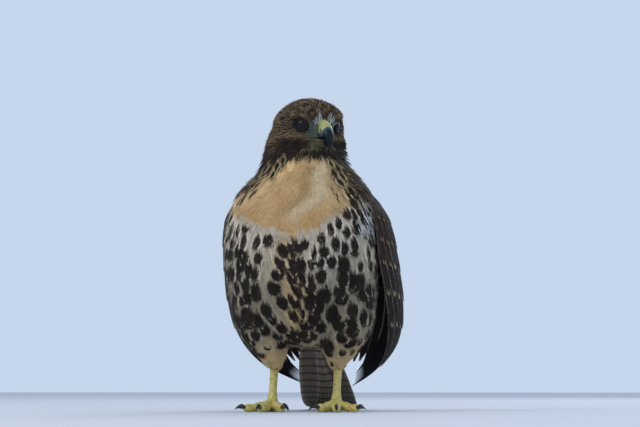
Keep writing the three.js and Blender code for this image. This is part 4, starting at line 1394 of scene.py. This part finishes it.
def build_foot(side, scales, horn):
    start = np.array([side * STANCE, 1.0, 0.0])
    turn = angles(28)
    rings = [shank_rings(side, turn), pad_rings(start, turn)]
    for name, (bearing, length, root, end, claw) in TOES.items():
        a = math.radians(bearing)
        way = np.array([side * math.sin(a), -math.cos(a), 0.0])
        rings.append(toe_rings(start, way, length, root, end))
        tip = start + way * (length - CLAW_INSET) + UP * CLAW_HEIGHT
        build_claw(f"{SIDES[side]}_{name}", tip, way, claw, horn)
    foot = remeshed("foot_scaled_" + SIDES[side], rings, scales, "foot_skin", FOOT_VOXEL, FOOT_ROUNDS,
                    lambda points: np.maximum(points, [-np.inf, -np.inf, 0.0]))
    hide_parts("foot_" + SIDES[side])


def build_claw(name, start, way, length, horn):
    k, rise, radius = np.linspace(0, 1, 26), math.radians(CLAW_RISE), length / math.radians(CLAW_BEND)
    a = np.radians(CLAW_RISE - CLAW_BEND * k)[:, None]
    line = start + radius * (way * (math.sin(rise) - np.sin(a)) + UP * (np.cos(a) - math.cos(rise)))
    normal = (way * np.sin(a) + UP * np.cos(a))[:, None]
    rings = round_line(line, np.cross(UP, way), normal, through(CLAW_RADIUS, k)[:, None], 0.86, angles(24))
    claw = mesh_object("talon_" + name, *closed_rings(rings), horn, "claw")
    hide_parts("claw_" + name)


# Put together

def build_bird():
    body_feathers = plumage_material("body_feathers", BLOB_AT, BLOB_REACH)
    wing_feathers = plumage_material("wing_feathers", 0.6, 0.2, barbs=60, gloss=0.7, sides=0.84, sheen=0.04)
    tail_feathers = plumage_material("tail_feathers", 3.0, 0.1, barbs=110, gloss=0.65, bars=13, sheen=0.04)
    skin = build_skin(skin_material())
    tree = surface_tree(skin)
    field = build_body_coat(skin, tree, body_feathers)
    build_barbs(skin, tree, field, body_feathers)
    build_bristles(body_feathers)
    for side in SIDES:
        build_wing(side, wing_feathers)
        build_foot(side, foot_material(), claw_material())
        build_eye(side, eye_material(), lid_material())
    build_tail(tail_feathers)
    build_bill(bill_material(), cere_material())


# Stage

def aimed(name, data, place, target):
    obj = placed(name, data)
    obj.location = place
    obj.rotation_euler = (Vector(target) - Vector(place)).to_track_quat("-Z", "Y").to_euler()
    return obj


def area_light(name, place, target, size, watts, colour):
    light = bpy.data.lights.new(name, "AREA")
    light.shape = "DISK"
    light.size = size
    light.energy = watts
    light.color = colour
    aimed(name, light, place, target)


def build_stage():
    mesh = bpy.data.meshes.new("floor")
    mesh.from_pydata([(-6, -6, 0), (6, -6, 0), (6, 6, 0), (-6, 6, 0)], [], [(0, 1, 2, 3)])
    mesh.materials.append(Graph("floor_paint", 0.8).colour((*rgb(206, 208, 212), 1.0)))
    placed("floor", mesh)
    middle = (0.0, 0.0, 0.22)
    area_light("key", (-1.3, -1.6, 1.9), middle, 1.6, 22, (1.0, 0.98, 0.95))
    area_light("fill", (1.9, -1.4, 0.9), middle, 1.8, 4, (0.86, 0.92, 1.0))
    area_light("back", (0.8, 1.8, 1.5), middle, 1.4, 12, (0.95, 0.97, 1.0))
    world = bpy.data.worlds.new("sky")
    bpy.context.scene.world = world
    world.use_nodes = True
    back = world.node_tree.nodes["Background"]
    back.inputs["Color"].default_value = (*rgb(198, 214, 236), 1.0)
    back.inputs["Strength"].default_value = 1.0
    bpy.context.scene.view_settings.view_transform = "Standard"


def build_camera():
    a, distance, drop = math.radians(VIEW_TURN), VIEW_FAR * MM, VIEW_LOW * MM
    right = np.array([math.cos(a), math.sin(a), 0])
    toward = np.array([math.sin(a), -math.cos(a), 0])
    middle = right * VIEW_ACROSS * MM + ORIGIN * MM * [1, 1, 0] + UP * VIEW_HEIGHT * MM
    place = middle + toward * math.sqrt(distance ** 2 - drop ** 2) - UP * drop
    camera = bpy.data.cameras.new("camera")
    camera.sensor_width = 36
    camera.lens = 36 * VIEW_FAR / VIEW_WIDE
    camera.clip_start = 0.05
    bpy.context.scene.camera = aimed("camera", camera, place, middle)


build_bird()
build_stage()
build_camera()
